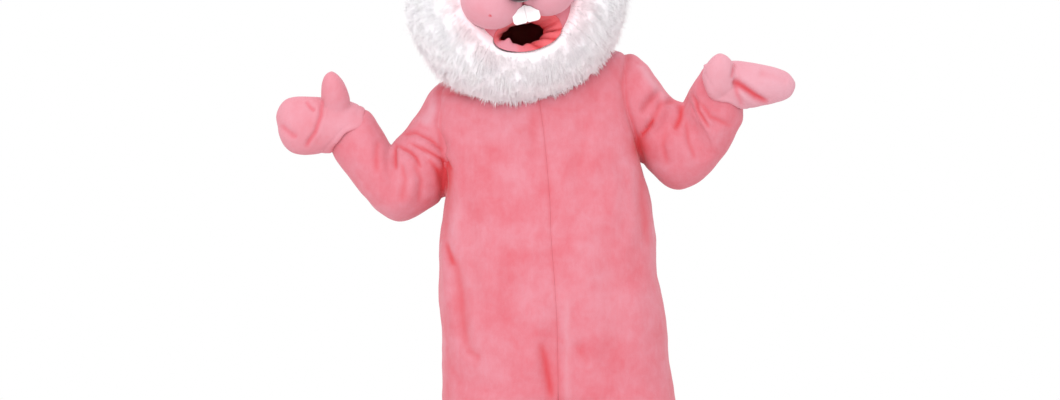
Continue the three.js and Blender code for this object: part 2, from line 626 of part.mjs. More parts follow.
function tooth(side) {
  const near = FACE_CENTRE_X + side * (SEAM / 2);
  const far = FACE_CENTRE_X + side * TEETH.width;
  const { outer, innerAcross, innerUp } = TOOTH_CORNERS;
  const outline = new THREE.Shape();
  outline.moveTo(near, TEETH.top);
  outline.lineTo(near, TEETH.bottom + innerUp);
  outline.quadraticCurveTo(near, TEETH.bottom, near + side * innerAcross, TEETH.bottom);
  outline.lineTo(far - side * outer, TEETH.bottom);
  outline.quadraticCurveTo(far, TEETH.bottom, far, TEETH.bottom + outer);
  outline.lineTo(far, TEETH.top);
  outline.closePath();
  const geometry = new THREE.ExtrudeGeometry(outline, {
    depth: TEETH.thick,
    bevelEnabled: false,
    curveSegments: TEETH.curveSteps,
  });
  geometry.rotateX(Math.PI / 2);
  geometry.translate(0, TEETH.y + TEETH.thick / 2, 0);
  geometry.applyMatrix4(headTurn);
  return fromGeometry(geometry);
}

function ear(side) {
  const geometry = new THREE.SphereGeometry(1, GRIDS.ear.sides, GRIDS.ear.rows);
  geometry.scale(EARS.halfWidth, EARS.halfDepth, EARS.halfHeight);
  geometry.rotateY(THREE.MathUtils.degToRad(EARS.lean * side));
  geometry.translate(EARS.x * side, EARS.y, EARS.z);
  geometry.applyMatrix4(headTurn);
  return fromGeometry(geometry);
}

// Assembly

const torsoInside = torsoFilled(-PLUSH);
const torsoClear = torsoFilled(REST);
const arms = { left: armFilled("left", SEAM), right: armFilled("right", SEAM) };
const armsClear = arms.left.add(arms.right);

for (const side of ["left", "right"]) {
  for (const face of ["front", "back"]) {
    addPiece(`suit_${face}_${side}`, suitPanel(side, face).subtract(arms[side]), PINK);
  }
  const drawnOut = { lengthenStart: DRAWN_OUT, lengthenEnd: DRAWN_OUT };
  const hollow = loopSolid(sweepLoops(ARMS[side], { ...ARM_GRID, out: -PLUSH, ...drawnOut }));
  const mittClear = mittFilled(side, SEAM, SEAM).subtract(mittFilled(side, -PLUSH - SEAM, DRAWN_OUT));
  const sleeve = armFilled(side, 0).subtract(hollow).subtract(torsoInside).subtract(mittClear);
  addPiece(`sleeve_${side}`, sleeve, PINK);

  const mitt = mittFilled(side, 0, 0).subtract(mittFilled(side, -PLUSH, DRAWN_OUT));
  addPiece(`mitt_palm_${side}`, mitt.intersect(mittFrontHalf(side, -SEAM / 2)), PINK);
  addPiece(`mitt_back_${side}`, mitt.subtract(mittFrontHalf(side, SEAM / 2)), PINK);
}

const headShell = headFilled(0).subtract(headFilled(-FOAM));
const mouthPlug = loopSolid(placed(mouthLoops(0)));
const neckPlug = loopSolid(
  placed(
    [HEAD_OPENING.fromZ, HEAD_OPENING.toZ].map((z) =>
      Array.from({ length: HEAD_OPENING.sides }, (_, k) => {
        const angle = (2 * Math.PI * k) / HEAD_OPENING.sides;
        const [x, y] = [Math.cos(angle), Math.sin(angle)].map((part) => part * HEAD_OPENING.radius);
        return new THREE.Vector3(x, y + HEAD_OPENING.y, z);
      }),
    ),
  ),
);
const headCuts = [mouthPlug, neckPlug, torsoClear, armsClear];
const openShell = headCuts.reduce((solid, cut) => solid.subtract(cut), headShell);
const [lowest, highest] = [new THREE.Vector3(-FAR, -FAR, -FAR), new THREE.Vector3(FAR, FAR, FAR)];
const frontHalf = (y) => headBox(lowest, highest.clone().setY(y));
addPiece("head_face", openShell.intersect(frontHalf(HEAD_SEAM_Y - SEAM / 2)), PINK);
addPiece("head_back", openShell.subtract(frontHalf(HEAD_SEAM_Y + SEAM / 2)), PINK);

const shellClear = headFilled(SEAM);
const liningTube = (out) => loopSolid(placed(mouthLoops(out)));
const lining = liningTube(-SEAM).subtract(liningTube(-SEAM - LINING));
const liningSpace = headFilled(-LINING_INSET).intersect(frontHalf(MOUTH.depth - HEAD_RADII.y));
addPiece("mouth_lining", lining.intersect(liningSpace), CORAL);

const lobeRadii = new THREE.Vector3(LOBES.radiusX, LOBES.radiusY, LOBES.radiusZ);
const lobeClearRadii = lobeRadii.clone().addScalar(SEAM);
const lobe = (side, radii) =>
  ellipsoid(new THREE.Vector3(FACE_CENTRE_X + side * LOBES.x, LOBES.y, LOBES.z), radii, GRIDS.lobe);
const rightOfMiddle = headBox(lowest.clone().setX(FACE_CENTRE_X - SEAM / 2), highest);
const leftOfMiddle = headBox(lowest, highest.clone().setX(FACE_CENTRE_X + SEAM / 2));
const noseSolid = (out) =>
  ellipsoid(
    new THREE.Vector3(FACE_CENTRE_X, NOSE.y, NOSE.z),
    new THREE.Vector3(NOSE.radiusX + out, NOSE.radiusY + out, NOSE.radiusZ + out),
    GRIDS.nose,
  );
const lobesClear = lobe(-1, lobeClearRadii).add(lobe(1, lobeClearRadii));
const teeth = { left: tooth(-1), right: tooth(1) };
for (const [side, sign, otherHalf] of [["left", -1, rightOfMiddle], ["right", 1, leftOfMiddle]]) {
  const padded = lobe(sign, lobeRadii).subtract(otherHalf).subtract(shellClear).subtract(noseSolid(SEAM));
  addPiece(`muzzle_${side}`, padded, PINK);
  addPiece(`tooth_${side}`, teeth[side].subtract(lobesClear).subtract(shellClear), FELT);
  const eyeCentre = new THREE.Vector3(FACE_CENTRE_X + sign * EYES.x, 0, EYES.z);
  const inPlane = 1 - (eyeCentre.x / HEAD_RADII.x) ** 2 - (eyeCentre.z / HEAD_RADII.z) ** 2;
  eyeCentre.y = -HEAD_RADII.y * Math.sqrt(inPlane) - EYES.proud;
  const eyeRadii = new THREE.Vector3(EYES.radiusX, EYES.radiusY, EYES.radiusZ);
  const eye = ellipsoid(eyeCentre, eyeRadii, GRIDS.eye);
  addPiece(`eye_${side}`, eye.subtract(shellClear), BLACK);
  addPiece(`ear_${side}`, ear(sign).subtract(shellClear), PINK);
}
addPiece("nose", noseSolid(0).subtract(shellClear), BLACK);

const ruffCuts = [shellClear, torsoClear, armsClear, lobesClear];
for (const { name, first, last } of RUFF_PIECES) {
  const fur = ruffCuts.reduce((solid, cut) => solid.subtract(cut), ruffPiece(first, last));
  addPiece(name, fur, WHITE_FUR);
}

export default costume;
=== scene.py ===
# %% [markdown]
# # A worn plush mascot costume, step by step
# The costume is a bodysuit of short pink plush with both sleeves held up, a pair of mitts, and a
# big head with long white fur on its cheeks, a padded muzzle and two front teeth. The packed
# model gives every place and size. This lesson dresses it: each cloth wall is made again as a
# fine sheet on the same form, with its seams, its folds and its pile.

import math

import bmesh
import bpy
import numpy as np
from mathutils import Matrix, Vector
from mathutils.bvhtree import BVHTree
from mathutils.kdtree import KDTree


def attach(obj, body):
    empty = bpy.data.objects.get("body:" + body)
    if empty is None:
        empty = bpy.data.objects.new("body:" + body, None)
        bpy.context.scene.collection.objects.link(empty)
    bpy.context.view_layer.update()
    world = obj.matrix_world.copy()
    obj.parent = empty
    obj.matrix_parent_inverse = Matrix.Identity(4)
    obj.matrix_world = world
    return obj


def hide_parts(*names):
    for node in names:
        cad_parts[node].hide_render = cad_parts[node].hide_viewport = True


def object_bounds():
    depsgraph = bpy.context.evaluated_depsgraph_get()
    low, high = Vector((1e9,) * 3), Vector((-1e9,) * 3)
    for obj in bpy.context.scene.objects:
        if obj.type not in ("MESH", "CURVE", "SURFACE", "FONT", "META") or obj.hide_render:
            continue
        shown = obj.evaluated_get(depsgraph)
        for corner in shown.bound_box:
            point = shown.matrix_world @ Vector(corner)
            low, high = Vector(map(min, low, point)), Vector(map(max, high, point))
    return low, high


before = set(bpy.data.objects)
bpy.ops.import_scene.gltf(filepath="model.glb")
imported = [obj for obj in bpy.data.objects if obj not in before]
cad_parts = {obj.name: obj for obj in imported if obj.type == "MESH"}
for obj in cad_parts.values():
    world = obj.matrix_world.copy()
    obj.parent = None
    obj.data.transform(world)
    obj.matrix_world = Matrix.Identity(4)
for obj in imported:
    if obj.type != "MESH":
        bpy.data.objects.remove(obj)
cad_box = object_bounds()
bpy.ops.object.select_all(action="DESELECT")
MM = 0.001
print("pieces in the packed model:", len(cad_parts))

# %% [markdown]
# ## Camera, floor and light
# The costume is seen level from the front, from 4.5 m away. The light is that of a white studio:
# the same soft white from all sides, and one large soft lamp in front that lets the sides fall
# off a little. The floor is a pale round sheet that stays below the picture.

# %% Camera
CAMERA_PLACE = (-0.0494, -4.5, -0.338)
CAMERA_LENS = 58.8
camera_data = bpy.data.cameras.new("camera")
camera_data.lens = CAMERA_LENS
camera_data.sensor_width = 36
camera = bpy.data.objects.new("camera", camera_data)
camera.location = CAMERA_PLACE
camera.rotation_euler = (math.radians(90), 0, 0)
bpy.context.collection.objects.link(camera)
bpy.context.scene.camera = camera
print("camera at", tuple(camera.location))

# %% Light
LAMPS = {
    "front_lamp": {"place": (-0.9, -3.6, 1.5), "aim": (0, 0, -0.4), "size": 2.4, "power": 70},
    "top_lamp": {"place": (0.6, -0.6, 3.2), "aim": (0, 0, -0.2), "size": 2.0, "power": 18},
}
for lamp_name, lamp in LAMPS.items():
    lamp_data = bpy.data.lights.new(lamp_name, "AREA")
    lamp_data.size = lamp["size"]
    lamp_data.energy = lamp["power"]
    lamp_object = bpy.data.objects.new(lamp_name, lamp_data)
    lamp_object.location = lamp["place"]
    aim = Vector(lamp["aim"]) - Vector(lamp["place"])
    lamp_object.rotation_euler = aim.to_track_quat("-Z", "Y").to_euler()
    bpy.context.collection.objects.link(lamp_object)
world = bpy.data.worlds.new("white_studio")
bpy.context.scene.world = world
world.use_nodes = True
world.node_tree.nodes["Background"].inputs["Color"].default_value = (1, 1, 1, 1)
world.node_tree.nodes["Background"].inputs["Strength"].default_value = 1.0
bpy.context.scene.view_settings.view_transform = "Standard"
print("lamps:", list(LAMPS))

# %% [markdown]
# ## Finishes
# Plush is a knitted backing with a short dense pile. Brushed one way it looks pale, the other way
# deeper, so the cloth is cloudy all over, and the pile glows at grazing angles, which is its
# sheen. Each cloth piece also carries a value painted on its points, which is mostly painted light:
# where the cloth dips, at its seams and under the arms it is painted shade, in the coral that pink
# light bouncing in the pile gives; on ridges it is a painted highlight, in a paler pink. The same
# value paints the mitts and the muzzle paler all over and marks the whisker dot. All patterns are
# worked out from the place on the piece, so they go round it without a seam.


# %% A helper that links up the nodes of a finish
class Finish:
    """A new material, and the few ways in which its nodes are added and linked."""

    def __init__(self, name):
        self.material = bpy.data.materials.new(name)
        self.material.use_nodes = True
        self.nodes = self.material.node_tree.nodes
        self.links = self.material.node_tree.links
        self.shader = self.nodes["Principled BSDF"]
        self.place = self.nodes.new("ShaderNodeTexCoord").outputs["Object"]

    def on_shader(self, **values):
        for socket, value in values.items():
            self.shader.inputs[socket.replace("_", " ")].default_value = value

    def noise(self, scale, detail=3.0, roughness=0.55, distortion=0.0, stretch=None):
        texture = self.nodes.new("ShaderNodeTexNoise")
        texture.inputs["Scale"].default_value = scale
        texture.inputs["Detail"].default_value = detail
        texture.inputs["Roughness"].default_value = roughness
        texture.inputs["Distortion"].default_value = distortion
        source = self.place
        if stretch:
            mapping = self.nodes.new("ShaderNodeMapping")
            mapping.inputs["Scale"].default_value = stretch
            self.links.new(self.place, mapping.inputs["Vector"])
            source = mapping.outputs["Vector"]
        self.links.new(source, texture.inputs["Vector"])
        return texture.outputs["Fac"]

    def value(self, name):
        attribute = self.nodes.new("ShaderNodeAttribute")
        attribute.attribute_name = name
        return attribute.outputs["Fac"]

    def reach(self, source, low, high, to_low=0.0, to_high=1.0):
        node = self.nodes.new("ShaderNodeMapRange")
        node.inputs["From Min"].default_value = low
        node.inputs["From Max"].default_value = high
        node.inputs["To Min"].default_value = to_low
        node.inputs["To Max"].default_value = to_high
        self.links.new(source, node.inputs["Value"])
        return node.outputs["Result"]

    def sums(self, first, second):
        node = self.nodes.new("ShaderNodeMath")
        node.operation = "ADD"
        for index, source in enumerate((first, second)):
            if isinstance(source, (int, float)):
                node.inputs[index].default_value = source
            else:
                self.links.new(source, node.inputs[index])
        return node.outputs["Value"]

    def blend(self, share, first, second):
        node = self.nodes.new("ShaderNodeMix")
        node.data_type = "RGBA"
        for socket, source in (("Factor", share), ("A", first), ("B", second)):
            target = [s for s in node.inputs if s.name == socket and s.enabled][0]
            if isinstance(source, tuple):
                target.default_value = (*source, 1)
            else:
                self.links.new(source, target)
        return [s for s in node.outputs if s.enabled][0]

    def bump(self, height, strength, distance, below=None):
        node = self.nodes.new("ShaderNodeBump")
        node.inputs["Strength"].default_value = strength
        node.inputs["Distance"].default_value = distance
        self.links.new(height, node.inputs["Height"])
        if below:
            self.links.new(below, node.inputs["Normal"])
        return node.outputs["Normal"]

    def finish(self, colour, normal, roughness=None):
        self.links.new(colour, self.shader.inputs["Base Color"])
        self.links.new(normal, self.shader.inputs["Normal"])
        if roughness:
            self.links.new(roughness, self.shader.inputs["Roughness"])
        return self.material


# %% Short pink plush
# The deepest coral is painted shade, for folds, seams and armpits; the palest pink is for painted
# highlights on ridges and for the paler pieces.
CORAL_PAINTED_SHADE = (0.60, 0.054, 0.066)
PINK_MID = (0.625, 0.147, 0.184)
PINK_PALE = (0.655, 0.256, 0.312)
PINK_PALE_AND_HIGHLIGHT = (0.67, 0.45, 0.52)


def plush(name, middle, pale, deep, pale_and_highlight):
    finish = Finish(name)
    wide_clouds = finish.noise(7.5, detail=3, roughness=0.5, distortion=0.4)
    small_clouds = finish.noise(26, detail=4, roughness=0.6, distortion=0.3)
    strokes = finish.noise(60, detail=3, roughness=0.6, stretch=(1.0, 1.0, 0.35))
    pile = finish.noise(420, detail=2, roughness=0.7)
    cloud = finish.sums(
        finish.reach(wide_clouds, 0.35, 0.65, 0, 0.5),
        finish.reach(small_clouds, 0.36, 0.66, 0.04, 0.36),
    )
    cloud = finish.sums(cloud, finish.reach(strokes, 0.3, 0.7, -0.1, 0.12))
    cloud = finish.sums(cloud, finish.reach(pile, 0.25, 0.75, -0.1, 0.1))
    colour = finish.blend(cloud, middle, pale)
    # Painted light and tint: above nothing the colour turns to coral as painted shade, below
    # nothing to a paler pink as painted highlight or a paler piece.
    painted_light_and_tint = finish.value("painted_light_and_tint")
    colour = finish.blend(finish.reach(painted_light_and_tint, 0, 1), colour, deep)
    colour = finish.blend(finish.reach(painted_light_and_tint, 0, -1), colour, pale_and_highlight)
    finish.on_shader(
        Roughness=0.95,
        Specular_IOR_Level=0.12,
        Sheen_Weight=0.25,
        Sheen_Roughness=0.45,
        Sheen_Tint=(1.0, 0.82, 0.86, 1),
    )
    normal = finish.bump(strokes, 0.25, 0.004)
    normal = finish.bump(pile, 0.35, 0.0016, below=normal)
    return finish.finish(colour, normal)


PLUSH_LOOK = plush("pink_plush", PINK_MID, PINK_PALE, CORAL_PAINTED_SHADE, PINK_PALE_AND_HIGHLIGHT)
print("finish:", PLUSH_LOOK.name)


# %% The knitted inside of the plush, and the dark foam inside the head
def knit(name, first, second, rows_per_metre):
    finish = Finish(name)
    wave = finish.nodes.new("ShaderNodeTexWave")
    wave.bands_direction = "Z"
    wave.inputs["Scale"].default_value = rows_per_metre
    wave.inputs["Distortion"].default_value = 2.5
    wave.inputs["Detail"].default_value = 2
    finish.links.new(finish.place, wave.inputs["Vector"])
    soft = finish.noise(30, detail=3)
    share = finish.sums(wave.outputs["Fac"], finish.reach(soft, 0.3, 0.7, -0.3, 0.3))
    colour = finish.blend(share, first, second)
    finish.on_shader(Roughness=0.95, Specular_IOR_Level=0.1, Sheen_Weight=0.1)
    return finish.finish(colour, finish.bump(wave.outputs["Fac"], 0.3, 0.001))


BACKING_LOOK = knit("plush_backing", (0.62, 0.2, 0.24), (0.7, 0.27, 0.31), 120)
HEAD_INSIDE_LOOK = knit("head_inside", (0.80, 0.13, 0.14), (0.86, 0.17, 0.18), 90)
# The lining's darkest coral is painted shade, in its folds and deep inside the mouth.
LINING_LOOK = plush(
    "coral_lining", (0.70, 0.105, 0.12), (0.74, 0.16, 0.18), (0.55, 0.02, 0.025), PINK_PALE
)
print("finishes:", BACKING_LOOK.name, HEAD_INSIDE_LOOK.name, LINING_LOOK.name)


# %% White fur, felt and the smooth black of the eyes and nose
def white_fur():
    finish = Finish("white_fur")
    clumps = finish.noise(24, detail=4, roughness=0.6, distortion=0.5)
    strands = finish.noise(300, detail=2)
    colour = finish.blend(
        finish.reach(clumps, 0.35, 0.68), (0.98, 0.975, 0.98), (0.93, 0.915, 0.945)
    )
    # The depth value turns the fur greyer: painted shade towards the locks' roots and on the smooth
    # body, on a random tone for each tuft.
    colour = finish.blend(finish.value("depth"), colour, (0.92, 0.885, 0.925))
    # Painted pink reflection from the pink plush nearby: beside the muzzle, at the fur's lower edge
    # and towards the roots.
    colour = finish.blend(finish.value("painted_pink_reflection"), colour, (0.92, 0.47, 0.53))
    finish.on_shader(
        Roughness=0.9,
        Specular_IOR_Level=0.15,
        Sheen_Weight=0.6,
        Sheen_Roughness=0.6,
        Sheen_Tint=(1.0, 0.98, 1.0, 1),
    )
    return finish.finish(colour, finish.bump(strands, 0.2, 0.0015))


def felt():
    finish = Finish("white_felt")
    soft = finish.noise(55, detail=4)
    fibres = finish.noise(700, detail=2, distortion=1.5)
    colour = finish.blend(finish.reach(soft, 0.3, 0.7), (0.93, 0.84, 0.86), (0.95, 0.91, 0.92))
    finish.on_shader(Roughness=0.9, Specular_IOR_Level=0.15, Sheen_Weight=0.1)
    return finish.finish(colour, finish.bump(fibres, 0.3, 0.0008))


def smooth_black():
    finish = Finish("smooth_black")
    soft = finish.noise(40, detail=3)
    colour = finish.blend(
        finish.reach(soft, 0.3, 0.7), (0.010, 0.008, 0.008), (0.020, 0.015, 0.015)
    )
    finish.on_shader(Coat_Weight=0.6, Coat_Roughness=0.08)
    roughness = finish.reach(soft, 0.3, 0.7, 0.2, 0.34)
    return finish.finish(colour, finish.bump(soft, 0.04, 0.001), roughness)


FUR_LOOK = white_fur()
FELT_LOOK = felt()
BLACK_LOOK = smooth_black()
print("finishes:", FUR_LOOK.name, FELT_LOOK.name, BLACK_LOOK.name)


# %% The pale floor
def floor_finish():
    finish = Finish("pale_floor")
    grain = finish.noise(14, detail=4)
    colour = finish.blend(finish.reach(grain, 0.3, 0.7), (0.9, 0.89, 0.89), (0.93, 0.925, 0.92))
    finish.on_shader(Roughness=0.9)
    return finish.finish(colour, finish.bump(grain, 0.02, 0.001))


FLOOR_RADIUS = 3.2
FLOOR_BELOW_HEM = 0.07
floor_z = cad_box[0][2] - FLOOR_BELOW_HEM
bpy.ops.mesh.primitive_circle_add(
    vertices=128, radius=FLOOR_RADIUS, fill_type="NGON", location=(0, 0, floor_z)
)
floor = bpy.context.object
floor.name = "floor"
bpy.ops.object.transform_apply(location=True)
floor.data.materials.append(floor_finish())
floor.select_set(False)
print("floor at z =", round(floor_z, 3))

# %% [markdown]
# ## Tables of the costume's sections
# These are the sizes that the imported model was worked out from, in millimetres. Between two rows
# the sizes run smoothly. The body has a row for each height, and each arm, mitt and thumb has a
# row for each section, given by its two ends as seen from the front, its place in depth and its
# half depth.


# %% Tables with named columns
def table(names, rows):
    return dict(zip(names.split(), np.array(rows, float).T))


def both_sides(names, left, right):
    return {"left": table(names, left), "right": table(names, right)}


def between(rows, by, values):
    """Smooth values between the rows of a table, which rise in the column named by."""
    at = rows[by]
    values = np.asarray(values, float)
    count = len(at)
    k = np.clip(np.searchsorted(at, values, side="left") - 1, 0, count - 2)
    gap = at[k + 1] - at[k]
    t = np.clip((values - at[k]) / gap, 0, 1)
    before = np.maximum(k - 1, 0)
    after = np.minimum(k + 2, count - 1)
    result = {}
    for key, column in rows.items():
        slope_a = (column[k + 1] - column[before]) / (at[k + 1] - at[before])
        slope_b = (column[after] - column[k]) / (at[after] - at[k])
        result[key] = (
            (2 * t**3 - 3 * t**2 + 1) * column[k]
            + (t**3 - 2 * t**2 + t) * gap * slope_a
            + (3 * t**2 - 2 * t**3) * column[k + 1]
            + (t**3 - t**2) * gap * slope_b
        )
    result[by] = values
    return result

# %% The body and the legs
SIDES = {"left": -1, "right": 1}  # each side, and which way it lies across
PLUSH_THICK = 4
SEAM = 0.3
SQUARENESS = 2.5
NECK, SPLIT, CROTCH, HEM = 58, -780, -923, -1390
NECK_X = -30
PARTING_POWER = 2.5
TORSO = table(
    "z left right seam front back tilt",
    [
        (-923, -277, 338, 21, 172, 176, 0),
        (-858, -278, 328, 21, 184, 186, 0),
        (-754, -278, 315, 20, 190, 190, 0),
        (-650, -283, 304, 18, 190, 188, 0),
        (-546, -289, 286, 12, 188, 178, 0),
        (-442, -283, 278, 4, 184, 166, 0),
        (-338, -275, 262, 0, 177, 156, 0),
        (-250, -284, 243, -7, 168, 150, 0.02),
        (-160, -311, 233, -16, 154, 144, 0.05),
        (-80, -311, 228, -27, 138, 134, 0.1),
        (-20, -298, 219, -30, 121, 121, 0.15),
        (8, -270, 200, -31, 108, 110, 0.16),
        (28, -220, 156, -32, 98, 101, 0.16),
        (45, -162, 103, -33, 90, 95, 0.16),
        (58, -122, 62, -34, 84, 90, 0.16),
    ],
)
LEG_COLUMNS = "z inner outer front back"
LEGS = both_sides(
    LEG_COLUMNS,
    left=[
        (-1390, -74, -236, 84, 92),
        (-1300, -58, -250, 100, 108),
        (-1150, -28, -264, 124, 131),
        (-1000, 4, -274, 150, 156),
        (-923, 21, -277, 168, 172),
        (-800, 19, -278, 186, 188),
    ],
    right=[
        (-1390, 140, 306, 84, 92),
        (-1300, 116, 322, 100, 108),
        (-1150, 82, 336, 124, 131),
        (-1000, 42, 340, 150, 156),
        (-923, 21, 338, 168, 172),
        (-800, 19, 320, 186, 188),
    ],
)
print("body rows:", len(TORSO["z"]))

# %% The arms
SECTION_COLUMNS = "topX topZ lowX lowZ y half"
ARMS = both_sides(
    SECTION_COLUMNS,
    left=[
        (-190, -40, -170, -190, 0, 80),
        (-262, -23, -205, -232, 0, 84),
        (-308, -55, -237, -286, -2, 87),
        (-336, -104, -267, -331, -4, 89),
        (-364, -148, -304, -358, -6, 92),
        (-392, -180, -345, -383, -9, 90),
        (-407, -198, -392, -392, -12, 88),
        (-415, -193, -441, -366, -16, 84),
        (-425, -172, -479, -330, -20, 79),
        (-440, -147, -515, -286, -25, 74),
        (-460, -118, -545, -248, -30, 66),
        (-478, -105, -564, -210, -35, 56),
        (-509, -90, -588, -213, -40, 54),
    ],
    right=[
        (128, 10, 134, -160, 0, 84),
        (198, 46, 196, -204, 0, 91),
        (250, 16, 246, -252, -2, 93),
        (283, -32, 288, -289, -6, 92),
        (316, -71, 319, -307, -12, 90),
        (341, -85, 354, -307, -20, 88),
        (348, -84, 392, -289, -30, 84),
        (352, -73, 426, -253, -48, 79),
        (358, -56, 452, -215, -68, 74),
        (369, -36, 473, -172, -87, 66),
        (380, -18, 489, -137, -100, 57),
        (392, 1, 493, -103, -110, 60),
        (415, 3, 508, -101, -118, 55),
    ],
)
print("arm rows:", len(ARMS["left"]["y"]))

# %% The mitts' finger pouches and thumbs
POUCHES = both_sides(
    SECTION_COLUMNS,
    left=[
        (-475, -101, -567, -214, -35, 60),
        (-506, -86, -591, -217, -40, 59),
        (-538, -77, -613, -221, -46, 57),
        (-576, -73, -635, -222, -51, 54),
        (-614, -72, -661, -215, -55, 49),
        (-647, -72, -681, -197, -58, 41),
        (-673, -78, -693, -171, -60, 31),
        (-688, -92, -698, -146, -61, 19),
        (-699, -113, -701, -125, -61, 5),
    ],
    right=[
        (389, 4, 496, -106, -110, 64),
        (411, 8, 511, -105, -118, 60),
        (441, 11, 526, -103, -126, 54),
        (473, 13, 540, -101, -134, 49),
        (505, 8, 555, -99, -140, 44),
        (540, 2, 572, -95, -143, 38),
        (572, -6, 590, -90, -144, 31),
        (600, -17, 608, -78, -143, 21),
        (617, -38, 619, -56, -141, 8),
    ],
)
THUMBS = both_sides(
    SECTION_COLUMNS,
    left=[
        (-512, -112, -578, -122, -66, 24),
        (-509, -82, -582, -92, -74, 30),
        (-513, -62, -583, -70, -80, 31),
        (-521, -42, -581, -48, -84, 29),
        (-531, -27, -577, -31, -86, 24),
        (-543, -15, -570, -18, -86, 14),
        (-553, -9, -560, -10, -86, 4),
    ],
    right=[
        (418, -62, 460, -64, -146, 18),
        (393, -46, 464, -47, -159, 28),
        (385, -25, 464, -25, -166, 31),
        (391, -3, 459, -3, -168, 29),
        (403, 14, 450, 13, -168, 22),
        (414, 23, 439, 23, -167, 12),
        (423, 28, 430, 28, -167, 4),
    ],
)
MITT_SEAM_BACK = 12
print("pouch rows:", len(POUCHES["left"]["y"]))
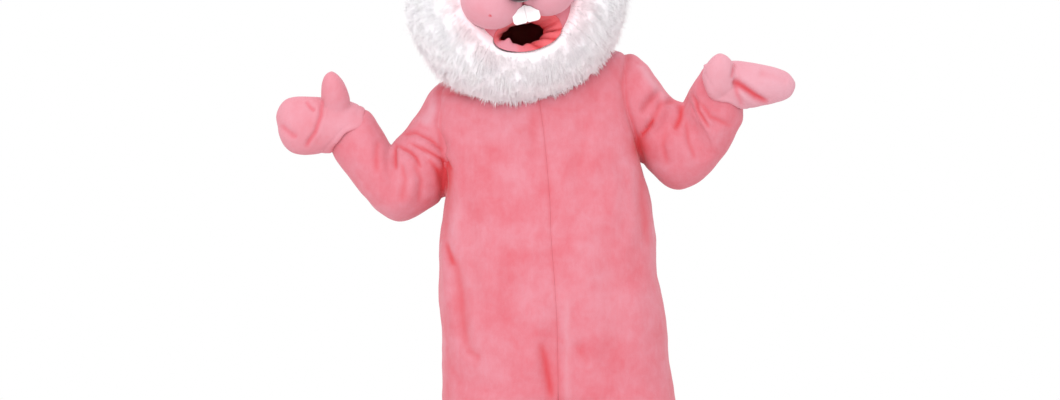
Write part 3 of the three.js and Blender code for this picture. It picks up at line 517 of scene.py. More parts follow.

# %% [markdown]
# ## Folds
# A worn bodysuit of thick plush has few sharp creases. It has long soft troughs where it hangs,
# short ones that fan out from the armpits and elbows, and low ridges where it is pulled tight.
# Each fold here is a line on the front or the back, with its width, its depth (a ridge has a
# depth below nothing) and its painted shade, how far it turns to coral (on a ridge, below nothing:
# a painted highlight in paler pink). The cloth dips along the line, with a low swell on either
# side. Soft swells all over stand for the rest, so that no stretch of cloth is flat.

# %% The folds, front and back
# A row is a fold: its width, its depth, its painted shade (how far it turns to coral, or below
# nothing a painted highlight), and its line as (x, z).
FOLDS = {
    "front": [
        # the body
        (13, 5.0, 0.75, [(-24, -689), (-12, -739), (6, -839)]),
        (16, 2.5, 0.25, [(-42, -100), (-42, -163), (-37, -238)]),
        (16, 6.0, 0.50, [(-250, -463), (-240, -493), (-225, -614), (-210, -719)]),
        (9, 3.0, 0.70, [(-262, -445), (-246, -505)]),
        (12, 3.5, 0.35, [(-210, -714), (-195, -724), (-170, -735)]),
        (14, 4.0, 0.30, [(63, -689), (81, -719), (101, -751)]),
        (18, -4.0, -0.15, [(-237, -215), (-237, -338), (-237, -460)]),
        (18, -4.0, -0.15, [(216, -225), (216, -338), (214, -470)]),
        (12, -3.0, -0.20, [(41, -560), (41, -714), (43, -860)]),
        (17, 2.0, 0.45, [(-264, -230), (-264, -330), (-270, -450)]),
        (17, 2.0, 0.45, [(238, -225), (244, -330), (258, -460)]),
        (26, 7.0, 0.12, [(12, -600), (2, -860)]),
        (34, 6.0, 0.08, [(-110, -420), (-95, -780)]),
        (36, 7.0, 0.10, [(150, -380), (175, -800)]),
        (34, 7.0, 0.10, [(-205, -330), (-190, -640)]),
        (32, 7.0, 0.10, [(215, -260), (232, -560)]),
        (20, 3.0, 0.10, [(90, -120), (75, -260), (82, -380)]),
        (22, 3.0, 0.10, [(-140, -140), (-150, -260), (-135, -380)]),
        # the legs
        (18, 5.0, 0.25, [(-150, -880), (-70, -930), (10, -950)]),
        (18, 5.0, 0.25, [(220, -880), (130, -935), (40, -955)]),
        (22, 5.0, 0.12, [(-190, -930), (-185, -1100), (-170, -1250)]),
        (22, 5.0, 0.12, [(230, -930), (240, -1100), (235, -1260)]),
        (14, 4.0, 0.20, [(-240, -1285), (-160, -1310), (-75, -1295)]),
        (13, 4.0, 0.20, [(-235, -1340), (-150, -1352), (-80, -1335)]),
        (14, 4.0, 0.20, [(125, -1290), (200, -1312), (310, -1290)]),
        (13, 4.0, 0.20, [(145, -1340), (220, -1350), (300, -1336)]),
        # over the left armhole
        (12, 3.0, 0.45, [(-280, -62), (-235, -66), (-180, -80)]),
        # the left sleeve
        (22, -3.0, -0.40, [(-286, -62), (-300, -108), (-322, -150)]),
        (20, 8.0, 0.05, [(-330, -165), (-262, -215)]),
        (20, 8.0, 0.05, [(-372, -200), (-300, -240)]),
        (20, 7.0, 0.05, [(-400, -210), (-395, -340)]),
        (6, 4.5, 0.60, [(-378, -170), (-342, -165), (-304, -183), (-268, -215)]),
        (6, 5.5, 0.75, [(-362, -188), (-304, -216), (-271, -236), (-245, -266)]),
        (6, 5.0, 0.75, [(-394, -196), (-360, -211), (-340, -229), (-325, -258)]),
        (6, 5.0, 0.70, [(-393, -192), (-396, -223), (-391, -262)]),
        (9, 3.0, 0.40, [(-436, -185), (-440, -223), (-438, -270)]),
        (9, 4.0, 0.42, [(-378, -240), (-366, -287), (-378, -345)]),
        (9, 4.0, 0.40, [(-347, -240), (-326, -287), (-332, -350)]),
        (8, 4.5, 0.60, [(-310, -232), (-285, -262), (-268, -300)]),
        # the right sleeve
        (15, -3.0, -0.40, [(226, 16), (262, -38), (308, -90)]),
        (20, 7.0, 0.05, [(288, -70), (236, -120)]),
        (22, 8.0, 0.05, [(330, -120), (262, -175)]),
        (22, 9.0, 0.05, [(350, -125), (400, -240)]),
        (20, 6.0, 0.05, [(372, -70), (425, -160)]),
        (7, 4.5, 0.50, [(288, -60), (255, -85), (228, -116)]),
        (7, 4.5, 0.60, [(268, -130), (232, -178)]),
        (7, 4.5, 0.50, [(222, -190), (258, -146), (286, -92), (334, -82)]),
        (9, 6.0, 0.95, [(341, -92), (334, -125), (318, -160)]),
        (6, 5.0, 0.65, [(358, -66), (374, -114), (404, -160)]),
        (7, 4.0, 0.45, [(372, -86), (404, -129), (458, -152)]),
        (7, 3.0, 0.40, [(345, -130), (352, -190), (372, -240)]),
        (8, 3.0, 0.35, [(300, -150), (288, -195), (300, -250)]),
        # the mitts
        (6, 4.5, 0.50, [(-579, -78), (-581, -122), (-593, -162), (-622, -204)]),
        (9, 3.5, 0.35, [(-688, -145), (-665, -165), (-640, -180)]),
        (6, 3.5, 0.45, [(-622, -84), (-609, -100), (-596, -112)]),
        (6, 3.0, 0.45, [(461, 4), (457, -12), (452, -36)]),
        (9, 9.0, 1.30, [(456, -36), (488, -60), (514, -79), (548, -97)]),
        (8, 4.0, 0.40, [(460, -40), (469, -76), (486, -108)]),
        (13, 3.0, 0.15, [(520, -20), (560, -30), (598, -40)]),
    ],
    "back": [
        # the body, the legs and the sleeves
        (40, 7.0, 0.10, [(-60, -160), (-90, -620)]),
        (40, 7.0, 0.10, [(90, -180), (120, -640)]),
        (22, 7.0, 0.15, [(-372, -200), (-310, -250)]),
        (22, 7.0, 0.15, [(335, -130), (270, -180)]),
        (16, 4.0, 0.25, [(-205, -240), (-150, -330), (-60, -390)]),
        (16, 4.0, 0.25, [(190, -220), (130, -320), (50, -385)]),
        (18, 4.5, 0.20, [(-240, -430), (-160, -500), (-40, -520)]),
        (18, 4.5, 0.20, [(245, -420), (170, -500), (60, -525)]),
        (20, 5.0, 0.20, [(-215, -560), (-190, -700), (-150, -820)]),
        (20, 5.0, 0.20, [(235, -560), (215, -700), (190, -820)]),
        (18, 5.0, 0.25, [(-170, -870), (-80, -925), (10, -940)]),
        (18, 5.0, 0.25, [(230, -870), (130, -930), (40, -945)]),
        (22, 5.0, 0.12, [(-170, -960), (-180, -1100), (-160, -1250)]),
        (22, 5.0, 0.12, [(215, -960), (235, -1100), (230, -1250)]),
        (14, 4.5, 0.25, [(-245, -1280), (-160, -1300), (-70, -1285)]),
        (13, 4.0, 0.25, [(-235, -1335), (-150, -1350), (-80, -1335)]),
        (14, 4.5, 0.25, [(125, -1282), (210, -1304), (312, -1284)]),
        (13, 4.0, 0.25, [(145, -1336), (225, -1352), (300, -1338)]),
        (10, 4.5, 0.50, [(-392, -200), (-352, -222), (-325, -262)]),
        (10, 4.0, 0.40, [(-300, -170), (-262, -205), (-240, -250)]),
        (12, 4.0, 0.35, [(-398, -215), (-410, -270), (-395, -330)]),
        (10, 4.5, 0.50, [(340, -100), (318, -140), (300, -200)]),
        (10, 4.0, 0.40, [(262, -90), (240, -140), (232, -200)]),
        (12, 4.0, 0.35, [(356, -90), (395, -140), (430, -165)]),
        # the mitts
        (14, 4.0, 0.25, [(-640, -100), (-600, -130), (-560, -150)]),
        (14, 4.0, 0.25, [(560, -30), (510, -45), (455, -55)]),
    ],
}
SWELL_BESIDE = 0.3  # how high the cloth swells beside a fold, as a share of its depth
BESIDE_AT, BESIDE_WIDE, PAINTED_SHADE_WIDE = 1.9, 0.8, 0.75  # shares of the fold's width
print("folds:", sum(len(rows) for rows in FOLDS.values()))


# %% How deep the folds lie at each point, and their painted shade and highlight
def bell(distance, width, power=2):
    """1 at no distance, and next to nothing past twice the width."""
    return np.exp(-((distance / width) ** power))


def near_line(x, z, line):
    """Distance to a line of straight stretches, and the place along it from 0 to 1."""
    line = np.array(line, float)
    steps = np.diff(line, axis=0)
    lengths = np.hypot(*steps.T)
    started = np.concatenate([[0], np.cumsum(lengths)])
    nearest = np.full(x.shape, 1e9)
    along = np.zeros(x.shape)
    for (x0, z0), (dx, dz), length, before in zip(line, steps, lengths, started):
        t = np.clip(((x - x0) * dx + (z - z0) * dz) / length**2, 0, 1)
        distance = np.hypot(x - x0 - t * dx, z - z0 - t * dz)
        closer = distance < nearest
        nearest = np.where(closer, distance, nearest)
        along = np.where(closer, (before + t * length) / started[-1], along)
    return nearest, along


def folds_at(points, normals):
    x, z = points[..., 0], points[..., 2]
    dip = np.zeros(x.shape)
    shade_highlight_tint = np.zeros(x.shape)
    for face, rows in FOLDS.items():
        facing = np.clip(2 * normals[..., 1] * (-1 if face == "front" else 1), 0, 1)
        for width, depth, colour, line in rows:
            distance, along = near_line(x, z, line)
            ends = np.clip(1 - np.abs(2 * along - 1) ** 5, 0, 1) * facing
            across = distance / width
            beside = SWELL_BESIDE * bell(across - BESIDE_AT, BESIDE_WIDE)
            dip += depth * ends * (bell(across, 1) - beside)
            # Painted shade along the fold, or a painted highlight where its share is below nothing.
            shade_highlight_tint += colour * ends * bell(across, PAINTED_SHADE_WIDE)
    return dip, shade_highlight_tint


# %% Soft swells all over
SWELLS = ((260, 2.2), (110, 1.1), (48, 0.55))  # wavelength and height


def swells(points, seed, wavelength, height, waves=9):
    draw = np.random.default_rng(seed)
    result = np.zeros(points.shape[:-1])
    for _ in range(waves):
        direction = draw.normal(size=3)
        direction *= 2 * math.pi / wavelength * draw.uniform(0.6, 1.5) / np.linalg.norm(direction)
        result += np.sin(points @ direction + draw.uniform(0, 2 * math.pi))
    return result * height / math.sqrt(waves)


def all_swells(points, seed):
    return sum(swells(points, seed + number, *size) for number, size in enumerate(SWELLS))


# %% [markdown]
# ## From points to cloth
# A sheet of cloth is a net of points with the wall's outside on it. Blender's Solidify modifier
# then gives it the plush's 4 mm towards the inside, and closes its edges. A piece that another
# one passes through is cut by it with a Boolean modifier, just clear of it, as the armholes are.


# %% Nets of points
def unit(vectors, least=0.0):
    """The vectors, each drawn out to a length of one."""
    return vectors / np.maximum(np.linalg.norm(vectors, axis=-1, keepdims=True), least)


def net_normals(net, closed):
    if closed:
        wrapped = np.concatenate([net[:, -1:], net, net[:, :1]], axis=1)
        along_columns = (wrapped[:, 2:] - wrapped[:, :-2]) / 2
    else:
        along_columns = np.gradient(net, axis=1)
    return unit(np.cross(along_columns, np.gradient(net, axis=0)), 1e-9)


def net_faces(rows, columns, closed):
    faces = []
    last = columns if closed else columns - 1
    for row in range(rows - 1):
        for column in range(last):
            a = row * columns + column
            b = row * columns + (column + 1) % columns
            faces.append((a, b, b + columns, a + columns))
    return faces


def new_piece(name, points, faces):
    """A mesh object from points in millimetres."""
    mesh = bpy.data.meshes.new(name)
    mesh.from_pydata((np.asarray(points).reshape(-1, 3) * MM).tolist(), [], faces)
    mesh.update()
    piece = bpy.data.objects.new(name, mesh)
    bpy.context.collection.objects.link(piece)
    return piece


def cloth_piece(name, net, normals, closed=False):
    """The net as a sheet whose faces look the way of the normals."""
    rows, columns = net.shape[:2]
    faces = net_faces(rows, columns, closed)
    piece = new_piece(name, net, faces)
    middle = piece.data.polygons[len(faces) // 2]
    outwards = normals.reshape(-1, 3)[middle.vertices[0]]
    if middle.normal.dot(Vector(outwards)) < 0:
        piece.data.flip_normals()
    return piece


def filled(name, net):
    """A closed solid from a stack of closed loops, for cutting."""
    rows, columns = net.shape[:2]
    faces = net_faces(rows, columns, True)
    faces.append(tuple(range(columns))[::-1])
    faces.append(tuple(range((rows - 1) * columns, rows * columns)))
    piece = new_piece(name, net, faces)
    outwards(piece)
    return piece


def outwards(piece):
    shape = bmesh.new()
    shape.from_mesh(piece.data)
    bmesh.ops.recalc_face_normals(shape, faces=shape.faces)
    shape.to_mesh(piece.data)
    shape.free()


# %% Modifiers, applied one by one
def apply_modifier(piece, kind, **settings):
    modifier = piece.modifiers.new(kind.lower(), kind)
    for key, value in settings.items():
        setattr(modifier, key, value)
    bpy.context.view_layer.objects.active = piece
    bpy.ops.object.modifier_apply(modifier=modifier.name)


def plush_wall(piece, thick, inside_look):
    """Thicken a sheet of plush towards its inside, which has another finish."""
    piece.data.materials.clear()
    piece.data.materials.append(PLUSH_LOOK)
    piece.data.materials.append(inside_look)
    thicken(piece, thick, material_offset=1)


def thicken(piece, thick, material_offset=0):
    apply_modifier(
        piece,
        "SOLIDIFY",
        thickness=thick * MM,
        offset=-1,
        material_offset=material_offset,
        material_offset_rim=0,
    )


def cut(piece, *cutters, operation="DIFFERENCE"):
    for cutter in cutters:
        apply_modifier(piece, "BOOLEAN", object=cutter, operation=operation, solver="MANIFOLD")


def remove(*tools):
    for tool in tools:
        bpy.data.objects.remove(tool, do_unlink=True)


def twin(piece, name):
    """A copy of the piece with a mesh of its own."""
    copy = piece.copy()
    copy.data = piece.data.copy()
    copy.name = name
    bpy.context.collection.objects.link(copy)
    return copy


# %% Values painted on the points of a piece
def paint(piece, name, values):
    attribute = piece.data.attributes.new(name, "FLOAT", "POINT")
    attribute.data.foreach_set("value", np.clip(values, -1, 1))


def nearest_of(points, places):
    """For each place, the number of the nearest point."""
    tree = KDTree(len(points))
    for index, point in enumerate(points):
        tree.insert(point, index)
    tree.balance()
    return np.array([tree.find(place)[1] for place in places])


def carry(piece, name, points, values):
    """Paint each vertex with the value of the nearest point that the piece was made from."""
    places = [vertex.co for vertex in piece.data.vertices]
    nearest = nearest_of(np.reshape(points, (-1, 3)) * MM, places)
    paint(piece, name, np.reshape(values, -1)[nearest])


# %% The last steps of every piece
def dress(piece, slot_name, node, look=None, smooth_under=50):
    """Its name, its finish, smooth shading, and its place in the frame."""
    piece.name = f"{node}_{slot_name}"
    if look:
        piece.data.materials.clear()
        piece.data.materials.append(look)
    bpy.ops.object.select_all(action="DESELECT")
    bpy.context.view_layer.objects.active = piece
    piece.select_set(True)
    bpy.ops.object.shade_smooth_by_angle(angle=math.radians(smooth_under))
    piece.select_set(False)
    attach(piece, "root")
    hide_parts(node)
    piece.data.calc_loop_triangles()
    area = sum(face.area for face in piece.data.polygons)
    print(piece.name, "triangles", len(piece.data.loop_triangles), "area", round(area, 3), "m2")


# %% [markdown]
# ## The arms as seen from inside: loops that cut and clear
# The sleeve is a tube through the arm's sections. The same tube, filled and grown by the seam's
# clearance, cuts the armhole in the body's panels. It is worked out first, because the panels dip
# towards their armhole as cloth does at a sewn seam.


# %% Loops through a table of sections
def sweep(rows, steps, sides, turns_from=None):
    """A net of closed loops through the sections, its normals, and the place along from 0 to 1."""
    count = len(rows["y"])
    numbered = dict(rows, k=np.arange(count, dtype=float))
    places = np.linspace(0, count - 1, steps + 1)
    row = between(numbered, "k", places)
    ahead = between(numbered, "k", np.minimum(count - 1, places + 0.1))
    behind = between(numbered, "k", np.maximum(0, places - 0.1))

    def centre_of(r):
        return np.stack([(r["topX"] + r["lowX"]) / 2, r["y"], (r["topZ"] + r["lowZ"]) / 2], axis=-1)

    tangent = centre_of(ahead) - centre_of(behind)
    if turns_from:
        tangent[:, 1] *= np.clip((places - turns_from[0]) / (turns_from[1] - turns_from[0]), 0, 1)
    tangent = unit(tangent)
    across = np.stack(
        [(row["topX"] - row["lowX"]) / 2, np.zeros(len(places)), (row["topZ"] - row["lowZ"]) / 2],
        axis=-1,
    )
    depth = np.cross(tangent, across)
    depth *= row["half"][:, None] / np.linalg.norm(depth, axis=-1, keepdims=True)
    angle = 2 * np.pi * (np.arange(sides) + 0.5) / sides
    centre = centre_of(row)[:, None]
    net = centre + across[:, None] * np.cos(angle)[None, :, None]
    net = net + depth[:, None] * np.sin(angle)[None, :, None]
    normals = net_normals(net, True)
    turned = np.sign(np.sum(normals * (net - centre), axis=-1, keepdims=True))
    return net, normals * np.where(turned == 0, 1, turned), places / (count - 1)


ARM_STEPS, ARM_SIDES = 118, 92
WRIST_ROWS = (7, 10)  # only from here on do the loops turn with the arm in depth
arm_nets = {side: sweep(ARMS[side], ARM_STEPS, ARM_SIDES, WRIST_ROWS) for side in ARMS}


def surface_tree(net, closed):
    faces = net_faces(*net.shape[:2], closed)
    return BVHTree.FromPolygons((net.reshape(-1, 3) * MM).tolist(), faces)


arm_outside = [surface_tree(net, True) for net, _, _ in arm_nets.values()]
print("arm loops:", ARM_STEPS + 1, "of", ARM_SIDES)


def distance_to(trees, points, reach=60):
    """Distance in millimetres from each point to the nearest of the surfaces, up to some reach."""
    flat = points.reshape(-1, 3) * MM
    result = np.full(len(flat), float(reach))
    for tree in trees:
        for index, point in enumerate(flat):
            hit = tree.find_nearest(point, reach * MM)
            if hit[3] is not None:
                result[index] = min(result[index], hit[3] / MM)
    return result.reshape(points.shape[:-1])


# %% [markdown]
# ## The bodysuit's four long panels
# A bodysuit is cut from four long panels that run from the shoulder to the ankle, sewn down the
# middle of the front and the back, down the sides and up the inside of the legs. Each panel is a
# net of rows at every height. It could be one tube with painted seams, but real seams pull the
# plush in by a few millimetres, and the panels are separate pieces that meet there.


# %% Points of a panel
def fullness(parting):
    """How far forward the fullest point of a half torso turning into a leg would come."""
    turn = np.linspace(0, np.pi / 2, 25)[None, :]
    share = np.atleast_1d(parting)[:, None]
    return np.max((1 - share) * np.cos(turn) ** (2 / SQUARENESS) + share * np.sin(2 * turn), axis=1)


def suit_points(side, face, across, z):
    """Points of a quarter panel's outside, from 0 at the centre or inner seam to 1 at the side."""
    body = between(TORSO, "z", np.maximum(z, CROTCH))
    body = {key: value[:, None] for key, value in body.items()}
    leg = {key: value[:, None] for key, value in between(LEGS[side], "z", z).items()}
    rise = z[:, None]
    turn = across[None, :] * np.pi / 2
    seam = body["seam"] if face == "front" else (body["left"] + body["right"]) / 2
    depth = -body["front"] if face == "front" else body["back"]
    power = 2 / SQUARENESS
    torso_x = seam + (body[side] - seam) * np.sin(turn) ** power
    torso_y = depth * np.clip(np.cos(turn), 0, 1) ** power
    torso_z = rise + body["tilt"] * (torso_x - NECK_X)
    leg_depth = -leg["front"] if face == "front" else leg["back"]
    parting = np.clip((SPLIT - z) / (SPLIT - CROTCH), 0, 1) ** PARTING_POWER
    inner = np.where(rise > CROTCH, body["seam"], leg["inner"])
    thigh_x = (inner + leg["outer"]) / 2 - ((leg["outer"] - inner) / 2) * np.cos(2 * turn)
    thigh_y = leg_depth * np.sin(2 * turn)
    share = parting[:, None]
    x = torso_x + (thigh_x - torso_x) * share
    y = (torso_y + (thigh_y - torso_y) * share) / fullness(parting)[:, None]
    z_out = torso_z + (rise - torso_z) * share
    return np.stack([x, y, z_out], axis=-1)


def even_columns(net, columns):
    """The same rows with their points evenly apart, and each row's length."""
    lengths = np.linalg.norm(np.diff(net, axis=1), axis=-1)
    started = np.concatenate([np.zeros((len(net), 1)), np.cumsum(lengths, axis=1)], axis=1)
    even = np.empty((len(net), columns, 3))
    for row in range(len(net)):
        wanted = np.linspace(0, started[row, -1], columns)
        for axis in range(3):
            even[row, :, axis] = np.interp(wanted, started[row], net[row, :, axis])
    return even, started[:, -1]


SUIT_HEIGHTS = np.concatenate([np.linspace(HEM, -60, 186), np.linspace(-57, NECK, 46)])
SUIT_COLUMNS = {"front": 56, "back": 50}
DENSE_ACROSS = np.linspace(0, 1, 301)


def suit_net(side, face, heights=SUIT_HEIGHTS, columns=None):
    """A panel's points, its normals, and how long each of its rows is."""
    dense = suit_points(side, face, DENSE_ACROSS, heights)
    net, lengths = even_columns(dense, columns or SUIT_COLUMNS[face])
    sign = SIDES[side] * (1 if face == "front" else -1)
    return net, net_normals(net, False) * sign, lengths


# %% Seams pull the cloth in
def seam_dip(distance, deep, narrow, wide):
    """A sewn seam: a narrow furrow in a wider shallow one."""
    return deep * (0.6 * bell(distance, narrow) + 0.4 * bell(distance, wide))


def seam_shade(distance, bands):
    """Painted shade beside a seam, in coral: bands of some strength and reach, one over the other.
    """
    return sum(strength * bell(distance, reach) for strength, reach in bands)


CENTRE_SEAM = {"deep": 2.4, "narrow": 2.6, "wide": 15.0}
# Beside each seam, painted shade in coral: bands of strength and reach.
CENTRE_SEAM_SHADE = ((0.16, 2.4), (0.06, 16))
SIDE_SEAM = {"deep": 4.2, "narrow": 5.0, "wide": 18.0}
SIDE_SEAM_SHADE = ((0.4, 3.5), (0.22, 28))
ARMHOLE_SEAM = {"deep": 6.5, "narrow": 6.0, "wide": 18.0}
ARMHOLE_SEAM_SHADE = ((0.25, 4), (0.1, 20))
HEM_STITCH = {"height": 24, "deep": 1.6, "narrow": 3.5}
SUIT_INSET = 1.5  # leaves room for the swells inside the suit's own sizes
# Painted shade under the arms: x, z, reach, and how deep a coral.
ARMPITS = [  # x, z, reach, how coral
    (-266, -284, 26, 0.95),
    (229, -204, 22, 0.95),
]


def armpit_shade(points):
    """Painted shade, in deep coral, in the hollow under each arm, seen from the front and the back.
    """
    shade_highlight_tint = np.zeros(points.shape[:-1])
    for x, z, reach, deepest in ARMPITS:
        away = np.hypot(points[..., 0] - x, 0.8 * (points[..., 2] - z))
        shade_highlight_tint += deepest * bell(away, reach)
    return shade_highlight_tint


def suit_panel(side, face):
    net, normals, lengths = suit_net(side, face)
    share = np.linspace(0, 1, net.shape[1])[None, :]
    from_centre = share * lengths[:, None]
    from_side = (1 - share) * lengths[:, None]
    from_arm = distance_to(arm_outside, net)
    dip, shade_highlight_tint = folds_at(net, normals)
    dip += seam_dip(from_centre, **CENTRE_SEAM) + seam_dip(from_side, **SIDE_SEAM)
    dip += seam_dip(from_arm, **ARMHOLE_SEAM)
    above_stitch = net[..., 2] - HEM - HEM_STITCH["height"]
    dip += HEM_STITCH["deep"] * bell(above_stitch, HEM_STITCH["narrow"])
    dip += SUIT_INSET + all_swells(net, 11)
    # Painted shade in the seams, at the armholes and under the arms.
    shade_highlight_tint += seam_shade(from_centre, CENTRE_SEAM_SHADE) + seam_shade(from_side, SIDE_SEAM_SHADE)
    shade_highlight_tint += seam_shade(from_arm, ARMHOLE_SEAM_SHADE) + armpit_shade(net)
    apart = np.array([SIDES[side], -1 if face == "front" else 1, 0]) * SEAM / 2
    cloth = net - normals * dip[..., None] + apart
    piece = cloth_piece(f"suit_{face}_{side}", cloth, normals)
    plush_wall(piece, PLUSH_THICK, BACKING_LOOK)
    return piece, cloth, shade_highlight_tint


QUARTERS = [(side, face) for side in SIDES for face in ("front", "back")]
suit_parts = {quarter: suit_panel(*quarter) for quarter in QUARTERS}
torso_outside = [surface_tree(suit_net(*quarter)[0], False) for quarter in QUARTERS]
print("panels:", len(suit_parts))

# %% [markdown]
# ## The sleeves
# Each sleeve is a tube of the same plush, set into its armhole and held up by the bent arm. Cloth
# bunches on the inside of the elbow and fans out from the armpit. At its far end it goes into the
# mitt, where an elastic gathers it, so the tube narrows there and its edge waves.

# %% The tube, its folds and its gathered end
SEAM_ALLOWANCE = 20  # how far the sleeve goes on inside the armhole
GATHER = {"starts": 0.86, "narrower": 6.0, "waves": 17, "height": 1.6}
SLEEVE_SEAM_SHADE = ((0.3, 5), (0.12, 22))
TORSO_FILLED = {"from": -600, "columns": 40, "above_neck": 60}


def torso_filled(out):
    """The torso as one solid, grown or shrunk, which the sleeves and the head are cut by."""
    heights = SUIT_HEIGHTS[SUIT_HEIGHTS > TORSO_FILLED["from"]]
    parts = []
    for side, face, run in (
        ("left", "front", 1),
        ("left", "back", -1),
        ("right", "back", 1),
        ("right", "front", -1),
    ):
        net, normals, _ = suit_net(side, face, heights, TORSO_FILLED["columns"])
        dip, _ = folds_at(net, normals)
        grown = net + normals * (out - dip)[..., None]
        parts.append(grown[:, ::run][:, :-1])
    net = np.concatenate(parts, axis=1)
    top = net[-1:] + [0, 0, TORSO_FILLED["above_neck"]]
    return filled("torso_filled", np.concatenate([net, top]))


def ease(share):
    """From 0 to 1 with a gentle start and end."""
    share = np.clip(share, 0, 1)
    return share**2 * (3 - 2 * share)


def sleeve_cloth(side):
    net, normals, along = arm_nets[side]
    dip, shade_highlight_tint = folds_at(net, normals)
    from_body = distance_to(torso_outside, net)
    dip += seam_dip(from_body, **ARMHOLE_SEAM) + all_swells(net, 23)
    # Painted shade at the armhole seam and under the arm.
    shade_highlight_tint += seam_shade(from_body, SLEEVE_SEAM_SHADE) + armpit_shade(net)
    gathered = ease((along - GATHER["starts"]) / (1 - GATHER["starts"]))[:, None]
    angle = 2 * np.pi * np.arange(net.shape[1])[None, :] / net.shape[1]
    dip += gathered * (GATHER["narrower"] + GATHER["height"] * np.sin(GATHER["waves"] * angle))
    return net - normals * dip[..., None], normals, shade_highlight_tint


sleeve_parts = {side: sleeve_cloth(side) for side in SIDES}
past_allowance = torso_filled(-SEAM_ALLOWANCE)
for side, (cloth, normals, shade_highlight_tint) in sleeve_parts.items():
    piece = cloth_piece(f"sleeve_{side}", cloth, normals, closed=True)
    plush_wall(piece, PLUSH_THICK, BACKING_LOOK)
    cut(piece, past_allowance)
    carry(piece, "painted_light_and_tint", cloth, shade_highlight_tint)
    dress(piece, "plush", f"sleeve_{side}")
remove(past_allowance)

# %% The armholes in the panels
for side, (cloth, normals, _) in sleeve_parts.items():
    arm_cutter = filled("arm_cutter", cloth + normals * SEAM)
    for face in ("front", "back"):
        piece, panel_cloth, shade_highlight_tint = suit_parts[side, face]
        cut(piece, arm_cutter)
        carry(piece, "painted_light_and_tint", panel_cloth, shade_highlight_tint)
        dress(piece, "plush", f"suit_{face}_{side}")
    remove(arm_cutter)

# %% [markdown]
# ## The mitts
# A mitt is sewn from a palm and a back, with a pouch for the fingers and one for the thumb. The
# two pouches are joined into one skin by a voxel remesh, which closes the angle between thumb and
# palm as stretched plush does. That skin is cut open at the wrist, parted along the seam, and
# thickened.


# %% One skin from the pouch and the thumb
CUFF = {"inset": 2.5, "behind": 90, "hem": 3.0, "half": 60}
CUFF_WAVES = ((3.2, 3, 1.0), (1.6, 7, 0.0))  # height, how many, where they start
CUFF_STITCH = {"from_edge": 16, "deep": 1.4, "narrow": 3.5}


def joined_skin(side):
    """The closed skin of both pouches, and the wrist's centre, half axes and way in."""
    pouch = sweep(POUCHES[side], 90, 84)[0]
    thumb = sweep(THUMBS[side], 60, 60)[0]
    wrist = pouch[0].mean(axis=0)
    across = (pouch[0, 0] + pouch[0, -1]) / 2 - wrist
    quarter = pouch.shape[1] // 4
    depth = (pouch[0, quarter - 1] + pouch[0, quarter]) / 2 - wrist
    way_in = np.cross(across, depth)
    way_in *= np.sign(way_in @ (pouch[10].mean(axis=0) - wrist)) / np.linalg.norm(way_in)
    skin, second = filled("pouch", pouch), filled("thumb", thumb)
    cut(skin, second, operation="UNION")
    narrower = wrist + (pouch[0] - wrist) * (1 - CUFF["inset"] / CUFF["half"])
    plug = filled("plug", np.stack([narrower - way_in * CUFF["behind"], narrower - way_in * 0.01]))
    cut(skin, plug)
    remove(second, plug)
    apply_modifier(skin, "REMESH", mode="VOXEL", voxel_size=0.0032)
    apply_modifier(skin, "SMOOTH", factor=0.5, iterations=7)
    return skin, wrist, across, depth, way_in


def mesh_arrays(piece):
    count = len(piece.data.vertices)
    points = np.empty(count * 3)
    piece.data.vertices.foreach_get("co", points)
    normals = np.empty(count * 3)
    piece.data.vertex_normals.foreach_get("vector", normals)
    return points.reshape(-1, 3) / MM, normals.reshape(-1, 3)


def seam_line(side):
    """The mitt's seam in depth, as x and y of its bends."""
    x = (POUCHES[side]["topX"] + POUCHES[side]["lowX"]) / 2
    y = POUCHES[side]["y"] + MITT_SEAM_BACK
    order = np.argsort(x)
    return x[order], y[order]


MITT_SEAM = {"deep": 3.0, "narrow": 4.0, "wide": 12.0}
MITT_SEAM_SHADE, CUFF_SHADE = ((0.3, 3.0),), ((0.2, 4),)
MITT_PALER = {"left": 0.22, "right": 0.45}  # the mitts' plush is paler than the suit's
CUFF_TONGUE = {  # where the cuff's edge reaches further up the arm: place across, width, length
    "left": (0.45, 0.38, 13.0),
    "right": (0.0, 0.42, 13.0),
}
TONGUE_PROUD = 4


def wavy_cuff(side, points, normals, from_wrist, u, v, way_in, wrist):
    """The skin's points with the cuff's edge in waves, and its tongue."""
    round_cuff = np.arctan2(v, u)
    waves = sum(high * np.sin(count * round_cuff + start) for high, count, start in CUFF_WAVES)
    tongue_at, tongue_wide, tongue_long = CUFF_TONGUE[side]
    tongue = bell(u - tongue_at, tongue_wide) * bell(from_wrist, 24)
    tongue *= np.clip(1 - 2 * (points[:, 1] - wrist[1]) / CUFF["half"], 0, 1)
    points = points + way_in * (waves * bell(from_wrist, 18))[:, None]
    points = points - way_in * (tongue_long * tongue)[:, None]
    return points + normals * (TONGUE_PROUD * tongue)[:, None]


def half_mitt(half, sign, open_end, line_x, line_y):
    """Open the wrist, keep one side of the seam's plane, and bend the seam to its line again."""
    shape = bmesh.new()
    shape.from_mesh(half.data)
    inner = [face for face in shape.faces if all(open_end[v.index] for v in face.verts)]
    bmesh.ops.delete(shape, geom=inner, context="FACES")
    bmesh.ops.bisect_plane(
        shape,
        geom=shape.verts[:] + shape.edges[:] + shape.faces[:],
        plane_co=(0, sign * SEAM / 2 * MM, 0),
        plane_no=(0, -sign, 0),
        clear_outer=True,
    )
    for vertex in shape.verts:
        vertex.co.y += np.interp(vertex.co.x / MM, line_x, line_y) * MM
    shape.to_mesh(half.data)
    shape.free()


